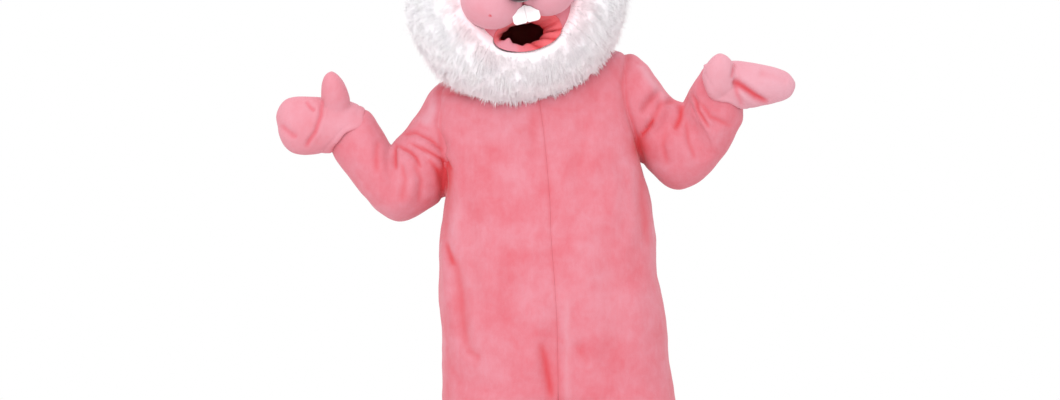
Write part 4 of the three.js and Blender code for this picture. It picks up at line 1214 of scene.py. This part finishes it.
def mitt(side):
    skin, wrist, across, depth, way_in = joined_skin(side)
    points, normals = mesh_arrays(skin)
    from_wrist = (points - wrist) @ way_in
    u = (points - wrist) @ across / (across @ across)
    v = (points - wrist) @ depth / (depth @ depth)
    points = wavy_cuff(side, points, normals, from_wrist, u, v, way_in, wrist)
    inside_cuff = np.hypot(u, v) < 1 - CUFF["hem"] / CUFF["half"]
    open_end = inside_cuff & (np.abs(from_wrist) < 5) & (normals @ way_in < -0.5)
    line_x, line_y = seam_line(side)
    from_seam = points[:, 1] - np.interp(points[:, 0], line_x, line_y)
    dip, shade_highlight_tint = folds_at(points, normals)
    dip += seam_dip(from_seam, **MITT_SEAM) + 0.6 * all_swells(points, 37)
    dip += CUFF_STITCH["deep"] * bell(from_wrist - CUFF_STITCH["from_edge"], CUFF_STITCH["narrow"])
    # Painted shade along the mitt's seam and at the cuff.
    shade_highlight_tint += seam_shade(from_seam, MITT_SEAM_SHADE) + seam_shade(from_wrist, CUFF_SHADE)
    shade_highlight_tint -= MITT_PALER[side]
    pushed = points - normals * dip[:, None]
    sheared = pushed.copy()
    sheared[:, 1] -= np.interp(pushed[:, 0], line_x, line_y)
    for face, sign in (("palm", -1), ("back", 1)):
        node = f"mitt_{face}_{side}"
        half = twin(skin, node)
        half.data.vertices.foreach_set("co", (sheared * MM).reshape(-1))
        half_mitt(half, sign, open_end, line_x, line_y)
        plush_wall(half, PLUSH_THICK, BACKING_LOOK)
        carry(half, "painted_light_and_tint", pushed, shade_highlight_tint)
        dress(half, "plush", node)
    remove(skin)


for side in SIDES:
    mitt(side)

# %% [markdown]
# ## The head
# A mascot's head is a foam ball covered with plush, in a face half and a back half. The foam is
# 12 mm thick with the cloth. It starts as a sphere of Blender's, drawn out to the head's own
# widths, and the openings for the mouth and the neck, and the room for the shoulders, are cut
# with booleans.

# %% The head's own axes
HEAD_CENTRE = Vector((-85, -70, 187)) * MM
HEAD_ROLL, HEAD_YAW = math.radians(-14), math.radians(3)
HEAD = (
    Matrix.Translation(HEAD_CENTRE)
    @ Matrix.Rotation(HEAD_YAW, 4, "Z")
    @ Matrix.Rotation(HEAD_ROLL, 4, "Y")
)
HEAD_ARRAY = np.array(HEAD)
HEAD_RADII = np.array([240.0, 232.0, 242.0])
HEAD_SEAM_Y = 12
FOAM = 12
FACE_CENTRE_X = -6


def to_head(points):
    """From the head's own axes, in millimetres, to the frame's."""
    return points @ HEAD_ARRAY[:3, :3].T + HEAD_ARRAY[:3, 3] / MM


def ball(name, centre, radii, segments, rings):
    """A sphere primitive drawn out to its three radii about a centre, in the head's own axes."""
    bpy.ops.object.select_all(action="DESELECT")
    bpy.ops.mesh.primitive_uv_sphere_add(segments=segments, ring_count=rings, radius=1)
    piece = bpy.context.object
    piece.name = name
    stretch = Matrix.Diagonal(Vector([*(np.array(radii) * MM), 1]))
    piece.data.transform(Matrix.Translation(Vector(np.array(centre) * MM)) @ stretch)
    piece.select_set(False)
    return piece


def block(name, low, high):
    """A box between two corners in the head's own axes, for cutting."""
    bpy.ops.object.select_all(action="DESELECT")
    bpy.ops.mesh.primitive_cube_add(size=1)
    piece = bpy.context.object
    piece.name = name
    low, high = np.array(low, float) * MM, np.array(high, float) * MM
    size = Matrix.Diagonal(Vector([*(high - low), 1]))
    piece.data.transform(Matrix.Translation(Vector((low + high) / 2)) @ size)
    piece.select_set(False)
    return piece


def reshape(piece, change):
    """Move every vertex to change(points, normals), in millimetres."""
    points, normals = mesh_arrays(piece)
    piece.data.vertices.foreach_set("co", (change(points, normals) * MM).reshape(-1))
    piece.data.update()


def shell_radius(direction):
    return 1 / np.linalg.norm(direction / HEAD_RADII, axis=-1)


# %% Cutters for the mouth and the neck
MOUTH = {"x": 2, "z": -128, "half_width": 128, "half_height": 54, "depth": 74}
MOUTH_END = {"x": -22, "z": -117, "half_width": 58, "half_height": 33}
NECK_HOLE = {"radius": 128, "y": 30, "from_z": -300, "to_z": -60}
FAR = 420


def mouth_size(key, y):
    inside = (y + HEAD_RADII[1]) / MOUTH["depth"]
    return MOUTH[key] + (MOUTH_END[key] - MOUTH[key]) * inside


def mouth_ring(y, out, sides):
    angle = 2 * np.pi * np.arange(sides) / sides
    x = mouth_size("x", y) + (mouth_size("half_width", y) + out) * np.cos(angle)
    z = mouth_size("z", y) + (mouth_size("half_height", y) + out) * np.sin(angle)
    return np.stack([x, np.full(sides, float(y)) if np.isscalar(y) else y, z], axis=-1)


def neck_ring(z, sides=72):
    angle = 2 * np.pi * np.arange(sides) / sides
    x = NECK_HOLE["radius"] * np.cos(angle)
    y = NECK_HOLE["y"] + NECK_HOLE["radius"] * np.sin(angle)
    return np.stack([x, y, np.full(sides, float(z))], axis=-1)

def keep_between(piece, axis, low, high):
    """Cut away what lies outside two planes across one of the head's axes."""
    corners = np.array([[-FAR] * 3, [FAR] * 3], float)
    corners[:, axis] = low, high
    inside = block("inside", *corners)
    cut(piece, inside, operation="INTERSECT")
    remove(inside)


MOUTH_SIDES = 96
MOUTH_CUT_Y = (-300, -120)  # from in front of the face to inside the head
FUR_RIM_Y = -185  # the fur leaves the mouth as open as it is at this depth
mouth_rings = [mouth_ring(y, 0, MOUTH_SIDES) for y in MOUTH_CUT_Y]
mouth_cutter = filled("mouth_cutter", np.stack(mouth_rings))
straight_ring = mouth_ring(FUR_RIM_Y, 0, MOUTH_SIDES)
fur_rings = [straight_ring - [0, 140, 0], straight_ring, mouth_rings[-1]]
fur_cutter = filled("fur_cutter", np.stack(fur_rings))
neck_cutter = filled("neck_cutter", np.stack([neck_ring(z) for z in (-300, -60)]))
print("mouth is", 2 * MOUTH["half_width"], "mm wide")

# %% The face and the back of the head
HEAD_SEAM = {"deep": 3.4, "narrow": 4.0, "wide": 14.0}

def centre_line(points):
    """The seam down the head's middle runs over the crown and the back, not down the face."""
    return np.clip((points[:, 1] + 150) / 60, 0, 1)


def head_form(points, normals):
    dip = 1.0 + 0.8 * all_swells(points, 51)
    dip += seam_dip(points[:, 1] - HEAD_SEAM_Y, **HEAD_SEAM)
    dip += centre_line(points) * seam_dip(points[:, 0] - FACE_CENTRE_X, **HEAD_SEAM)
    return points - normals * dip[:, None]


# Painted shade in coral along the head's seams.
def head_seam_shade(points):
    shade_highlight_tint = 0.5 * bell(points[:, 1] - HEAD_SEAM_Y, 3.5)
    return shade_highlight_tint + 0.5 * centre_line(points) * bell(points[:, 0] - FACE_CENTRE_X, 3.5)


HEAD_CLEAR = 0.45  # how far the head stays off the suit
HEAD_GRID = (168, 104)  # segments and rings
torso_clear = torso_filled(HEAD_CLEAR)
arm_clear = [
    filled(f"arm_clear_{side}", net + normals * SEAM)
    for side, (net, normals, _) in arm_nets.items()
]
for tool in (torso_clear, *arm_clear):
    tool.data.transform(HEAD.inverted())
shell = ball("head_shell", (0, 0, 0), HEAD_RADII, *HEAD_GRID)
reshape(shell, head_form)
plush_wall(shell, FOAM, HEAD_INSIDE_LOOK)
cut(shell, mouth_cutter, neck_cutter, torso_clear, *arm_clear)
for name, low_y, high_y in (
    ("head_face", -FAR, HEAD_SEAM_Y - SEAM / 2),
    ("head_back", HEAD_SEAM_Y + SEAM / 2, FAR),
):
    half = twin(shell, name)
    keep_between(half, 1, low_y, high_y)
    paint(half, "painted_light_and_tint", head_seam_shade(mesh_arrays(half)[0]))
    half.data.transform(HEAD)
    dress(half, "plush", name)
remove(shell)

# %% [markdown]
# ## Inside the mouth
# The opening in the face leads into the plain dark hollow of the head. A coral cloth runs in from
# its edge like a funnel. It is loose at the bottom, where it lies in soft folds.


# %% The lining
RIM_COVER = 11  # below and beside the teeth the lining comes out over the cut edge of the foam
LUMPS = {"count": 11, "middle": 318, "half": 62, "proud": 9}  # the loose folds, low at the right
LIP_FLAP = {"middle": 220, "half": 36, "inwards": 0.4, "proud": 24}  # a padded lip, low at the left
LINING = {"rows": 22, "sides": 150, "thick": 2.5, "inset": 0.3, "below_shell": 1}


def face_edge(angle):
    """How far forward the mouth's edge lies on the shell, found by going round it again."""
    across, _, high = HEAD_RADII - LINING["below_shell"]
    start = np.full(len(angle), -HEAD_RADII[1])
    for _ in range(30):
        ring = mouth_ring(start, -LINING["inset"], len(angle))
        inside = 1 - (ring[:, 0] / across) ** 2 - (ring[:, 2] / high) ** 2
        start = -(HEAD_RADII[1] - LINING["below_shell"]) * np.sqrt(np.clip(inside, 0, 1))
    return start


def mouth_lining():
    rows, sides = LINING["rows"], LINING["sides"]
    angle = 2 * np.pi * np.arange(sides) / sides
    start = face_edge(angle) - RIM_COVER * np.clip(0.3 - np.sin(angle), 0, 1)
    end = MOUTH["depth"] - HEAD_RADII[1]
    inwards = np.linspace(0, 1, rows)
    inset = LINING["inset"]
    rings = [mouth_ring(start + (end - start) * share, -inset, sides) for share in inwards]
    net = np.stack(rings)
    normals = net_normals(net, True)
    centre = net.mean(axis=1, keepdims=True)
    normals *= np.sign(np.sum(normals * (net - centre), axis=-1, keepdims=True))
    inwards = inwards[:, None]
    lower = np.clip(-np.sin(angle), 0, 1)[None, :]
    waves = np.sin(angle * 13 + 4 * inwards) * 2.2 + np.sin(angle * 7 + 1 - 3 * inwards) * 1.6
    dip = np.clip(inwards * 3, 0, 1) * (2.4 + lower * waves + 0.5 * waves)
    degrees = np.degrees(angle)[None, :]
    flap = bell(degrees - LIP_FLAP["middle"], LIP_FLAP["half"])
    dip += LIP_FLAP["proud"] * flap * bell(inwards - LIP_FLAP["inwards"], 0.3)
    lumps = (0.5 + 0.5 * np.sin(LUMPS["count"] * angle[None, :] + 2.5 * inwards)) ** 0.7
    loose = bell((degrees - LUMPS["middle"] + 180) % 360 - 180, LUMPS["half"], 4)
    dip += LUMPS["proud"] * lumps * loose * np.sin(np.pi * np.clip(inwards * 1.1, 0, 1)) ** 0.7
    # Painted shade between the loose folds and deeper in the mouth; the lip flap is painted paler.
    shade_highlight_tint = 0.9 * (1 - lumps) ** 2 * loose + 0.6 * inwards**3 - 1.7 * flap * (1 - inwards**3)
    cloth = to_head(net - normals * dip[..., None])
    piece = cloth_piece("mouth_lining", cloth, normals, closed=True)
    thicken(piece, LINING["thick"])
    outwards(piece)
    carry(piece, "painted_light_and_tint", cloth, shade_highlight_tint)
    dress(piece, "lining", "mouth_lining", LINING_LOOK)


mouth_lining()

# %% [markdown]
# ## Muzzle, nose and teeth
# The muzzle is two padded lobes of plush, sewn together down the middle and onto the face. The
# nose is a smooth black button on top of their seam, and two flat felt teeth hang from under
# them.

# %% Padded lobes
LOBES = {"x": 68, "y": -214, "z": -18, "radii": np.array([77.0, 74.0, 75.0])}
LOBES_PALER = 0.4
BULGE = {"from": 0.66, "to": 0.9, "squarer": 0.95}  # the lobes are fuller close beside their seam
LOBE_SEAM = {"deep": 5.0, "narrow": 5.0, "wide": 18.0}  # between the two lobes
WHISKER_DOT = {"x": -92, "z": -62, "reach": 2.8}
NOSE = {"centre": np.array([-6.0, -290.0, -26.0]), "radii": np.array([37.0, 25.0, 25.0])}
head_clear = ball("head_clear", (0, 0, 0), HEAD_RADII + SEAM, *HEAD_GRID)
reshape(head_clear, lambda points, normals: points - 1.5 * normals)
nose_clear = ball("nose_clear", NOSE["centre"], NOSE["radii"] + SEAM, 64, 40)


def lobe_centre(sign):
    return np.array([FACE_CENTRE_X + sign * LOBES["x"], LOBES["y"], LOBES["z"]])


def lobe_bulge(points):
    """Make a ball into a lobe that is squarer close to the seam."""
    sign = np.sign(points[:, 0].mean() - FACE_CENTRE_X)
    centre = lobe_centre(sign)
    way = (points - centre) / LOBES["radii"]
    far_out = np.linalg.norm(way, axis=1, keepdims=True)
    way /= far_out
    beside = ease((-sign * way[:, :1] - BULGE["from"]) / (BULGE["to"] - BULGE["from"]))
    power = 2 + BULGE["squarer"] * beside
    stretch = np.sum(np.abs(way) ** power, axis=1, keepdims=True) ** (-1 / power)
    return centre + way * far_out * stretch * LOBES["radii"]


def padded_form(points, normals):
    dip = 0.5 * all_swells(points, 77)
    dip += seam_dip(np.abs(points[:, 0] - FACE_CENTRE_X), **LOBE_SEAM)
    return lobe_bulge(points - normals * dip[:, None])


def muzzle(side, sign):
    lobe = ball(f"muzzle_{side}", lobe_centre(sign), LOBES["radii"], 112, 72)
    reshape(lobe, padded_form)
    inner_edge = FACE_CENTRE_X + sign * SEAM / 2
    keep_between(lobe, 0, *sorted((inner_edge, sign * FAR)))
    cut(lobe, head_clear, nose_clear)
    points, _ = mesh_arrays(lobe)
    # Painted shade in the seam between the lobes; the lobes are painted paler all over, and the
    # whisker dot is coral.
    shade_highlight_tint = 0.7 * bell(points[:, 0] - FACE_CENTRE_X, 5) - LOBES_PALER
    dotted = (points[:, 1] < LOBES["y"]) & (side == "left")
    from_dot = np.hypot(points[:, 0] - WHISKER_DOT["x"], points[:, 2] - WHISKER_DOT["z"])
    shade_highlight_tint += np.where(dotted, 1.6 * bell(from_dot, WHISKER_DOT["reach"], 4), 0)
    paint(lobe, "painted_light_and_tint", shade_highlight_tint)
    lobe.data.transform(HEAD)
    dress(lobe, "plush", f"muzzle_{side}", PLUSH_LOOK, smooth_under=40)


for side, sign in SIDES.items():
    muzzle(side, sign)

# %% The nose
nose = ball("nose", NOSE["centre"], NOSE["radii"], 64, 40)
cut(nose, head_clear)
nose.data.transform(HEAD)
dress(nose, "black", "nose", BLACK_LOOK)

# %% The teeth
TEETH = {"width": 33.5, "top": -50, "bottom": -97, "y": -243, "thick": 12}
TOOTH_CORNERS = {"outer": 9.0, "inner": 4.5}
NEARLY = 0.01
lobe_clear = []
for side, sign in SIDES.items():
    clear = ball(f"lobe_clear_{side}", lobe_centre(sign), LOBES["radii"] + SEAM, 96, 60)
    reshape(clear, lambda points, normals: lobe_bulge(points))
    lobe_clear.append(clear)


def low_corner(edge, corner_x):
    """Whether an edge is the lower corner of a tooth at this place across."""
    return all(
        abs(v.co.x / MM - corner_x) < NEARLY and v.co.z / MM < TEETH["bottom"] + NEARLY
        for v in edge.verts
    )


def tooth(side, sign):
    """A flat block, its lower corners rounded by a bevel and its edges softened by a second."""
    near = FACE_CENTRE_X + sign * SEAM / 2
    far = FACE_CENTRE_X + sign * TEETH["width"]
    low = (min(near, far), TEETH["y"] - TEETH["thick"] / 2, TEETH["bottom"])
    high = (max(near, far), TEETH["y"] + TEETH["thick"] / 2, TEETH["top"])
    piece = block(f"tooth_{side}", low, high)
    shape = bmesh.new()
    shape.from_mesh(piece.data)
    for corner_x, reach in ((far, TOOTH_CORNERS["outer"]), (near, TOOTH_CORNERS["inner"])):
        corner = [edge for edge in shape.edges if low_corner(edge, corner_x)]
        bmesh.ops.bevel(
            shape, geom=corner, offset=reach * MM, segments=10, profile=0.5, affect="EDGES"
        )
    shape.to_mesh(piece.data)
    shape.free()
    sharp = math.radians(60)
    apply_modifier(
        piece, "BEVEL", width=0.0022, segments=4, limit_method="ANGLE", angle_limit=sharp
    )
    cut(piece, head_clear, *lobe_clear)
    piece.data.transform(HEAD)
    dress(piece, "felt", f"tooth_{side}", FELT_LOOK, smooth_under=40)


for side, sign in SIDES.items():
    tooth(side, sign)

# %% [markdown]
# ## Eyes and ears
# The eyes are plain glossy domes and the ears plain padded flaps. They are above the picture, so
# they are the simple ones that such a head must have.

# %% Eyes
EYES = {"x": 70, "z": 90, "radii": np.array([25.0, 15.0, 31.0]), "proud": 2}
for side, sign in SIDES.items():
    eye_x, eye_z = FACE_CENTRE_X + sign * EYES["x"], EYES["z"]
    in_plane = 1 - (eye_x / HEAD_RADII[0]) ** 2 - (eye_z / HEAD_RADII[2]) ** 2
    eye_y = -HEAD_RADII[1] * math.sqrt(in_plane) - EYES["proud"]
    eye = ball(f"eye_{side}", (eye_x, eye_y, eye_z), EYES["radii"], 48, 32)
    cut(eye, head_clear)
    eye.data.transform(HEAD)
    dress(eye, "black", f"eye_{side}", BLACK_LOOK)

# %% Ears
EARS = {"x": 112, "y": 10, "z": 292, "radii": (47, 21, 108), "lean": 13}
EAR_SEAM = {"deep": 1.8, "narrow": 2.5, "wide": 7.0}
EAR_SCOOP = {"deep": 8, "out_to": 0.72}


def padded_flap(points, normals):
    """An ear's front is scooped out, and a seam runs round its edge."""
    round_edge = np.hypot(points[:, 0] / EARS["radii"][0], points[:, 2] / EARS["radii"][2])
    scoop = EAR_SCOOP["deep"] * np.clip(1 - round_edge / EAR_SCOOP["out_to"], 0, 1) ** 1.2
    dip = np.where(points[:, 1] < 0, scoop, 0)
    dip += seam_dip(points[:, 1], **EAR_SEAM) * (round_edge > 0.6)
    return points - normals * (dip + 0.4 * all_swells(points, 91))[:, None]


def ear(side, sign):
    piece = ball(f"ear_{side}", (0, 0, 0), EARS["radii"], 88, 64)
    reshape(piece, padded_flap)
    points, _ = mesh_arrays(piece)
    # Painted shade in coral along the ear's seam.
    paint(piece, "painted_light_and_tint", 0.5 * bell(points[:, 1], 3))
    lean = Matrix.Rotation(math.radians(EARS["lean"] * sign), 4, "Y")
    place = Matrix.Translation(Vector((EARS["x"] * sign, EARS["y"], EARS["z"])) * MM)
    piece.data.transform(place @ lean)
    cut(piece, head_clear)
    piece.data.transform(HEAD)
    dress(piece, "plush", f"ear_{side}", PLUSH_LOOK)


for side, sign in SIDES.items():
    ear(side, sign)

# %% [markdown]
# ## The fur of the cheeks and the chin
# Long fake fur is sewn on in three strips that go round the face. A smooth body of fur gives the
# depth and closes the view, and thousands of thin three-sided locks stand on it. Locks of real
# fur stick together in tufts, so each lock here leans towards the middle of its tuft. All of one
# strip's locks are one mesh, worked out in arrays, because thousands of objects would be slow.

# %% The body of the fur
RUFF = {"span": 128, "taper": 30, "outer_angle": 104, "inner_x": 140, "inner_z": 172}
BELLY = {"from": 0.16, "span": 0.68, "power": 0.8}
FUR = {"thick": 51, "thicker_left": 7, "edge": 5, "sunk": 6}
TUFTS = 38
RUFF_PIECES = {"ruff_left": (0, 13), "ruff_chin": (13, 25), "ruff_right": (25, TUFTS)}
BODY_SHARE = 0.82  # the smooth body's share of the fur's depth
BODY_ROWS, BODY_COLUMNS, ROLL_ROWS = 50, 9, 6  # columns are for each tuft
INNER_ROLL = 0.06  # the fur rolls over this far inwards of its seam, onto the edge of the mouth


def ruff_degrees(tuft):
    """The angle round the face at which a tuft starts."""
    return -RUFF["span"] + tuft * 2 * RUFF["span"] / TUFTS

def ruff_direction(around, across):
    """Direction from the head's centre. around: radians about the face. across: 0 at the face."""
    rim = np.hypot(RUFF["inner_x"] * np.sin(around), RUFF["inner_z"] * np.cos(around))
    flat = np.stack([np.sin(around), np.zeros_like(around), -np.cos(around)], axis=-1)
    inner = np.arcsin(rim / shell_radius(flat))
    lean = inner + (math.radians(RUFF["outer_angle"]) - inner) * across
    return np.stack(
        [np.sin(lean) * np.sin(around), -np.cos(lean), -np.sin(lean) * np.cos(around)], axis=-1
    )


def fur_depth(around, across):
    ends = np.clip((RUFF["span"] - np.abs(np.degrees(around))) / RUFF["taper"], 0, 1)
    over_roll = np.clip(1 + across / INNER_ROLL, 0, 1)
    rolled = np.sqrt(over_roll * (2 - over_roll))
    belly = np.sin(np.pi * (BELLY["from"] + BELLY["span"] * across)) ** BELLY["power"]
    fullest = FUR["thick"] + FUR["thicker_left"] * np.maximum(0, -np.sin(around))
    return (FUR["edge"] + (fullest - FUR["edge"]) * belly * np.sqrt(ends)) * rolled


def ruff_points(around, across, height):
    """Points some way above the shell, in the head's own axes. height is in millimetres."""
    direction = ruff_direction(around, across)
    return direction * (shell_radius(direction) + height)[..., None]


def pink_reflection_at(points, around, across):
    """How much painted pink reflection the fur gets: beside the muzzle and at its lower edge."""
    low_side = np.clip(-points[..., 2] / 240, 0, 1)
    beside_muzzle = 0.15 + 0.85 * np.abs(np.sin(around)) ** 1.5
    inner = 0.5 * bell(np.clip(across, 0, 1), 0.09) * beside_muzzle
    return inner + 0.4 * bell(across - 1, 0.13) * low_side


def ruff_body(name, first, last):
    """The smooth body of one strip of fur, its outer points, and their painted pink reflection."""
    columns = BODY_COLUMNS * (last - first) + 1
    around = np.radians(np.linspace(ruff_degrees(first), ruff_degrees(last), columns))
    roll = -INNER_ROLL * np.linspace(1, 0, ROLL_ROWS + 1)[:-1] ** 2
    steps_across = np.concatenate([roll, np.linspace(0, 1, BODY_ROWS - ROLL_ROWS)])
    around, across = np.meshgrid(around, steps_across)
    depth = fur_depth(around, across) * BODY_SHARE
    outer = ruff_points(around, across, depth)
    uneven = swells(outer, 5, 38, 1.3) + swells(outer, 6, 19, 0.6)
    depth = depth + uneven * np.clip(across * 12 + 1, 0, 1)
    outer = ruff_points(around, across, np.maximum(depth, 0.5))
    inner = ruff_points(around, across, np.full(depth.shape, -float(FUR["sunk"])))
    loops = np.swapaxes(np.concatenate([outer, inner[::-1]], axis=0), 0, 1)
    return filled(name, loops), outer, pink_reflection_at(outer, around, across)


ruff_cutters = [head_clear, torso_clear, *arm_clear, *lobe_clear, fur_cutter]


# %% The locks: where they stand
LOCKS = {"each_piece": 8800, "clumps": 420, "rings": 4, "wide": 1.35, "tip": 0.2, "lap": 0.012}
LOCK_LONG = {"from": 20, "to": 34, "rooted": 3, "drawn_out": 1.5}


def spread(draw, count, low, high):
    """Places on the ruff, even over its area: the angle round the face and the share across."""
    around, across = [], []
    while len(around) < count:
        a, c = draw.uniform(low, high), draw.uniform(-INNER_ROLL, 1.0)
        if draw.uniform() < np.sin(math.radians(35 + 60 * max(c, 0))):
            around.append(a)
            across.append(c)
    return np.array(around), np.array(across)


def clear_of_face(rings):
    """Which locks stay out of the mouth's opening and the muzzle."""
    x, y, z = np.moveaxis(rings, -1, 0)
    y = np.maximum(y, FUR_RIM_Y)
    u = (x - mouth_size("x", y)) / mouth_size("half_width", y)
    v = (z - mouth_size("z", y)) / mouth_size("half_height", y)
    blocked = (u**2 + v**2 < 0.98) & (y < 0)
    for sign in SIDES.values():
        from_centre = (rings - lobe_centre(sign)) / LOBES["radii"]
        blocked |= np.linalg.norm(from_centre, axis=-1) < 0.97
    return ~blocked.any(axis=1)


# %% The locks: how they lie, and their faces
def lock_paths(draw, first, last):
    """Of each lock that stays: middle line, clump, ways at start, end and out, painted pink
    reflection.
    """
    low, high = math.radians(ruff_degrees(first)), math.radians(ruff_degrees(last))
    lap = LOCKS["lap"]
    around, across = spread(draw, LOCKS["each_piece"], low - lap, high + lap)
    clump_at = spread(draw, LOCKS["clumps"], low, high)
    full = fur_depth(around, across)
    root = ruff_points(around, across, full * BODY_SHARE - LOCK_LONG["rooted"])
    clump_root = ruff_points(*clump_at, fur_depth(*clump_at) * BODY_SHARE)
    nearest = nearest_of(clump_root, root)
    further = across + 0.02
    onward = ruff_points(around, further, fur_depth(around, further) * BODY_SHARE)
    onward = unit(onward - ruff_points(around, across, full * BODY_SHARE))
    straight = ruff_direction(around, across)
    clump_lean = draw.normal(0, 0.13, (LOCKS["clumps"], 3))[nearest]
    wander = draw.normal(0, 0.09, (len(root), 3))
    lay = 0.78 + 0.14 * across[:, None]
    ragged = np.clip((across - 0.72) / 0.28, 0, 1) * draw.uniform(0, 1, LOCKS["clumps"])[nearest]
    down = np.array([0, 0, -1.0]) @ HEAD_ARRAY[:3, :3]
    start = unit(straight * (1 - lay) + onward * lay + clump_lean * 0.5 + wander)
    end = unit(straight * 0.05 + onward * 0.95 + clump_lean + wander + down * 0.25)
    length = draw.uniform(LOCK_LONG["from"], LOCK_LONG["to"], len(root))
    length *= 0.55 + 0.45 * full / FUR["thick"]
    length *= draw.uniform(0.85, 1.1, LOCKS["clumps"])[nearest] * (1 + 0.35 * ragged)
    gather = (0.3 + 0.45 * ragged[:, None]) * (clump_root[nearest] - root)
    rings = []
    for t in np.arange(LOCKS["rings"]) / (LOCKS["rings"] - 1):
        bend = start * (t - t * t / 2) + end * (t * t / 2)
        rings.append(root + bend * length[:, None] * LOCK_LONG["drawn_out"] + gather * t * t)
    rings = np.stack(rings, axis=1)
    kept = clear_of_face(rings)
    painted_pink_reflection = pink_reflection_at(root, around, across)
    return [values[kept] for values in (rings, nearest, start, end, straight, painted_pink_reflection)]


def lock_faces(count):
    """Faces of all the locks: three sides between the rings, a tip, and a closed root."""
    per_lock = (LOCKS["rings"] - 1) * 3 + 1
    tip = per_lock - 1
    last_ring = tip - 3
    pattern = []
    for ring in range(LOCKS["rings"] - 2):
        for corner in range(3):
            a, b = ring * 3 + corner, ring * 3 + (corner + 1) % 3
            pattern.append((a, b, b + 3, a + 3))
    pattern += [(last_ring + c, last_ring + (c + 1) % 3, tip) for c in range(3)] + [(2, 1, 0)]
    starts = range(0, count * per_lock, per_lock)
    return [tuple(start + v for v in face) for start in starts for face in pattern]


def ruff_locks(first, last, seed):
    """Points, faces, painted pink reflection, tone with painted root shade, and normals of all the
    locks of one strip.
    """
    draw = np.random.default_rng(seed)
    rings, nearest, start, end, straight, painted_pink_reflection = lock_paths(draw, first, last)
    count, sections = len(rings), LOCKS["rings"] - 1
    side_way = unit(np.cross(start, straight), 1e-6)
    up_way = np.cross(start, side_way)
    turns = [2 * math.pi * corner / 3 + math.pi / 2 for corner in range(3)]
    corners = [side_way * math.cos(turn) + up_way * math.sin(turn) for turn in turns]
    corners = np.stack(corners, axis=1)
    places = np.arange(sections) / sections
    widths = LOCKS["wide"] * (1 - places) ** 0.7 + LOCKS["tip"]
    net = rings[:, :-1, None, :] + corners[:, None] * widths[None, :, None, None] / 2
    points = np.concatenate([net.reshape(count, -1, 3), rings[:, -1:, :]], axis=1)
    along = np.concatenate([np.repeat(places, 3), [1.0]])[None, :]
    # Painted pink reflection, strongest at the root.
    painted_pink_reflection = painted_pink_reflection[:, None] * (1 - 0.4 * along)
    clump_tone = draw.uniform(0, 0.3, LOCKS["clumps"])[nearest]
    # Painted shade towards each lock's root, on a random tone for each tuft.
    tone_and_root_shade = clump_tone[:, None] + 0.25 * (1 - along) ** 2
    spun = np.repeat(corners[:, None], sections, axis=1).reshape(count, -1, 3)
    normals = straight[:, None] * 0.9 + 0.22 * np.concatenate([spun, end[:, None]], axis=1)
    flat = [values.reshape(-1, 3) for values in (points, normals)]
    return flat[0], lock_faces(count), painted_pink_reflection.reshape(-1), tone_and_root_shade.reshape(-1), flat[1]


# %% The three strips, each a body and its locks in one mesh
# The smooth body under the locks gets painted shade.
BODY_PAINTED_SHADE = 0.6


def ruff(name, first, last, seed):
    body, body_net, net_pink_reflection = ruff_body(name + "_body", first, last)
    cut(body, *ruff_cutters)
    body_points, body_normals = mesh_arrays(body)
    faces = [tuple(face.vertices) for face in body.data.polygons]
    points, on_locks, painted_pink_reflection, tone_and_root_shade, normals = ruff_locks(first, last, seed)
    offset = len(body_points)
    faces += [tuple(v + offset for v in face) for face in on_locks]
    piece = new_piece(name, np.concatenate([to_head(body_points), to_head(points)]), faces)
    body_pink_reflection = net_pink_reflection.reshape(-1)[nearest_of(body_net.reshape(-1, 3), body_points)]
    paint(piece, "painted_pink_reflection", np.concatenate([body_pink_reflection, painted_pink_reflection]))
    paint(piece, "depth", np.concatenate([np.full(offset, BODY_PAINTED_SHADE), tone_and_root_shade]))
    remove(body)
    dress(piece, "fur", name, FUR_LOOK, smooth_under=180)
    turned = unit(np.concatenate([body_normals, normals]) @ HEAD_ARRAY[:3, :3].T)
    piece.data.normals_split_custom_set_from_vertices(turned.tolist())


for number, (name, (first, last)) in enumerate(RUFF_PIECES.items()):
    ruff(name, first, last, 100 + number)
remove(*ruff_cutters, nose_clear, neck_cutter, mouth_cutter)
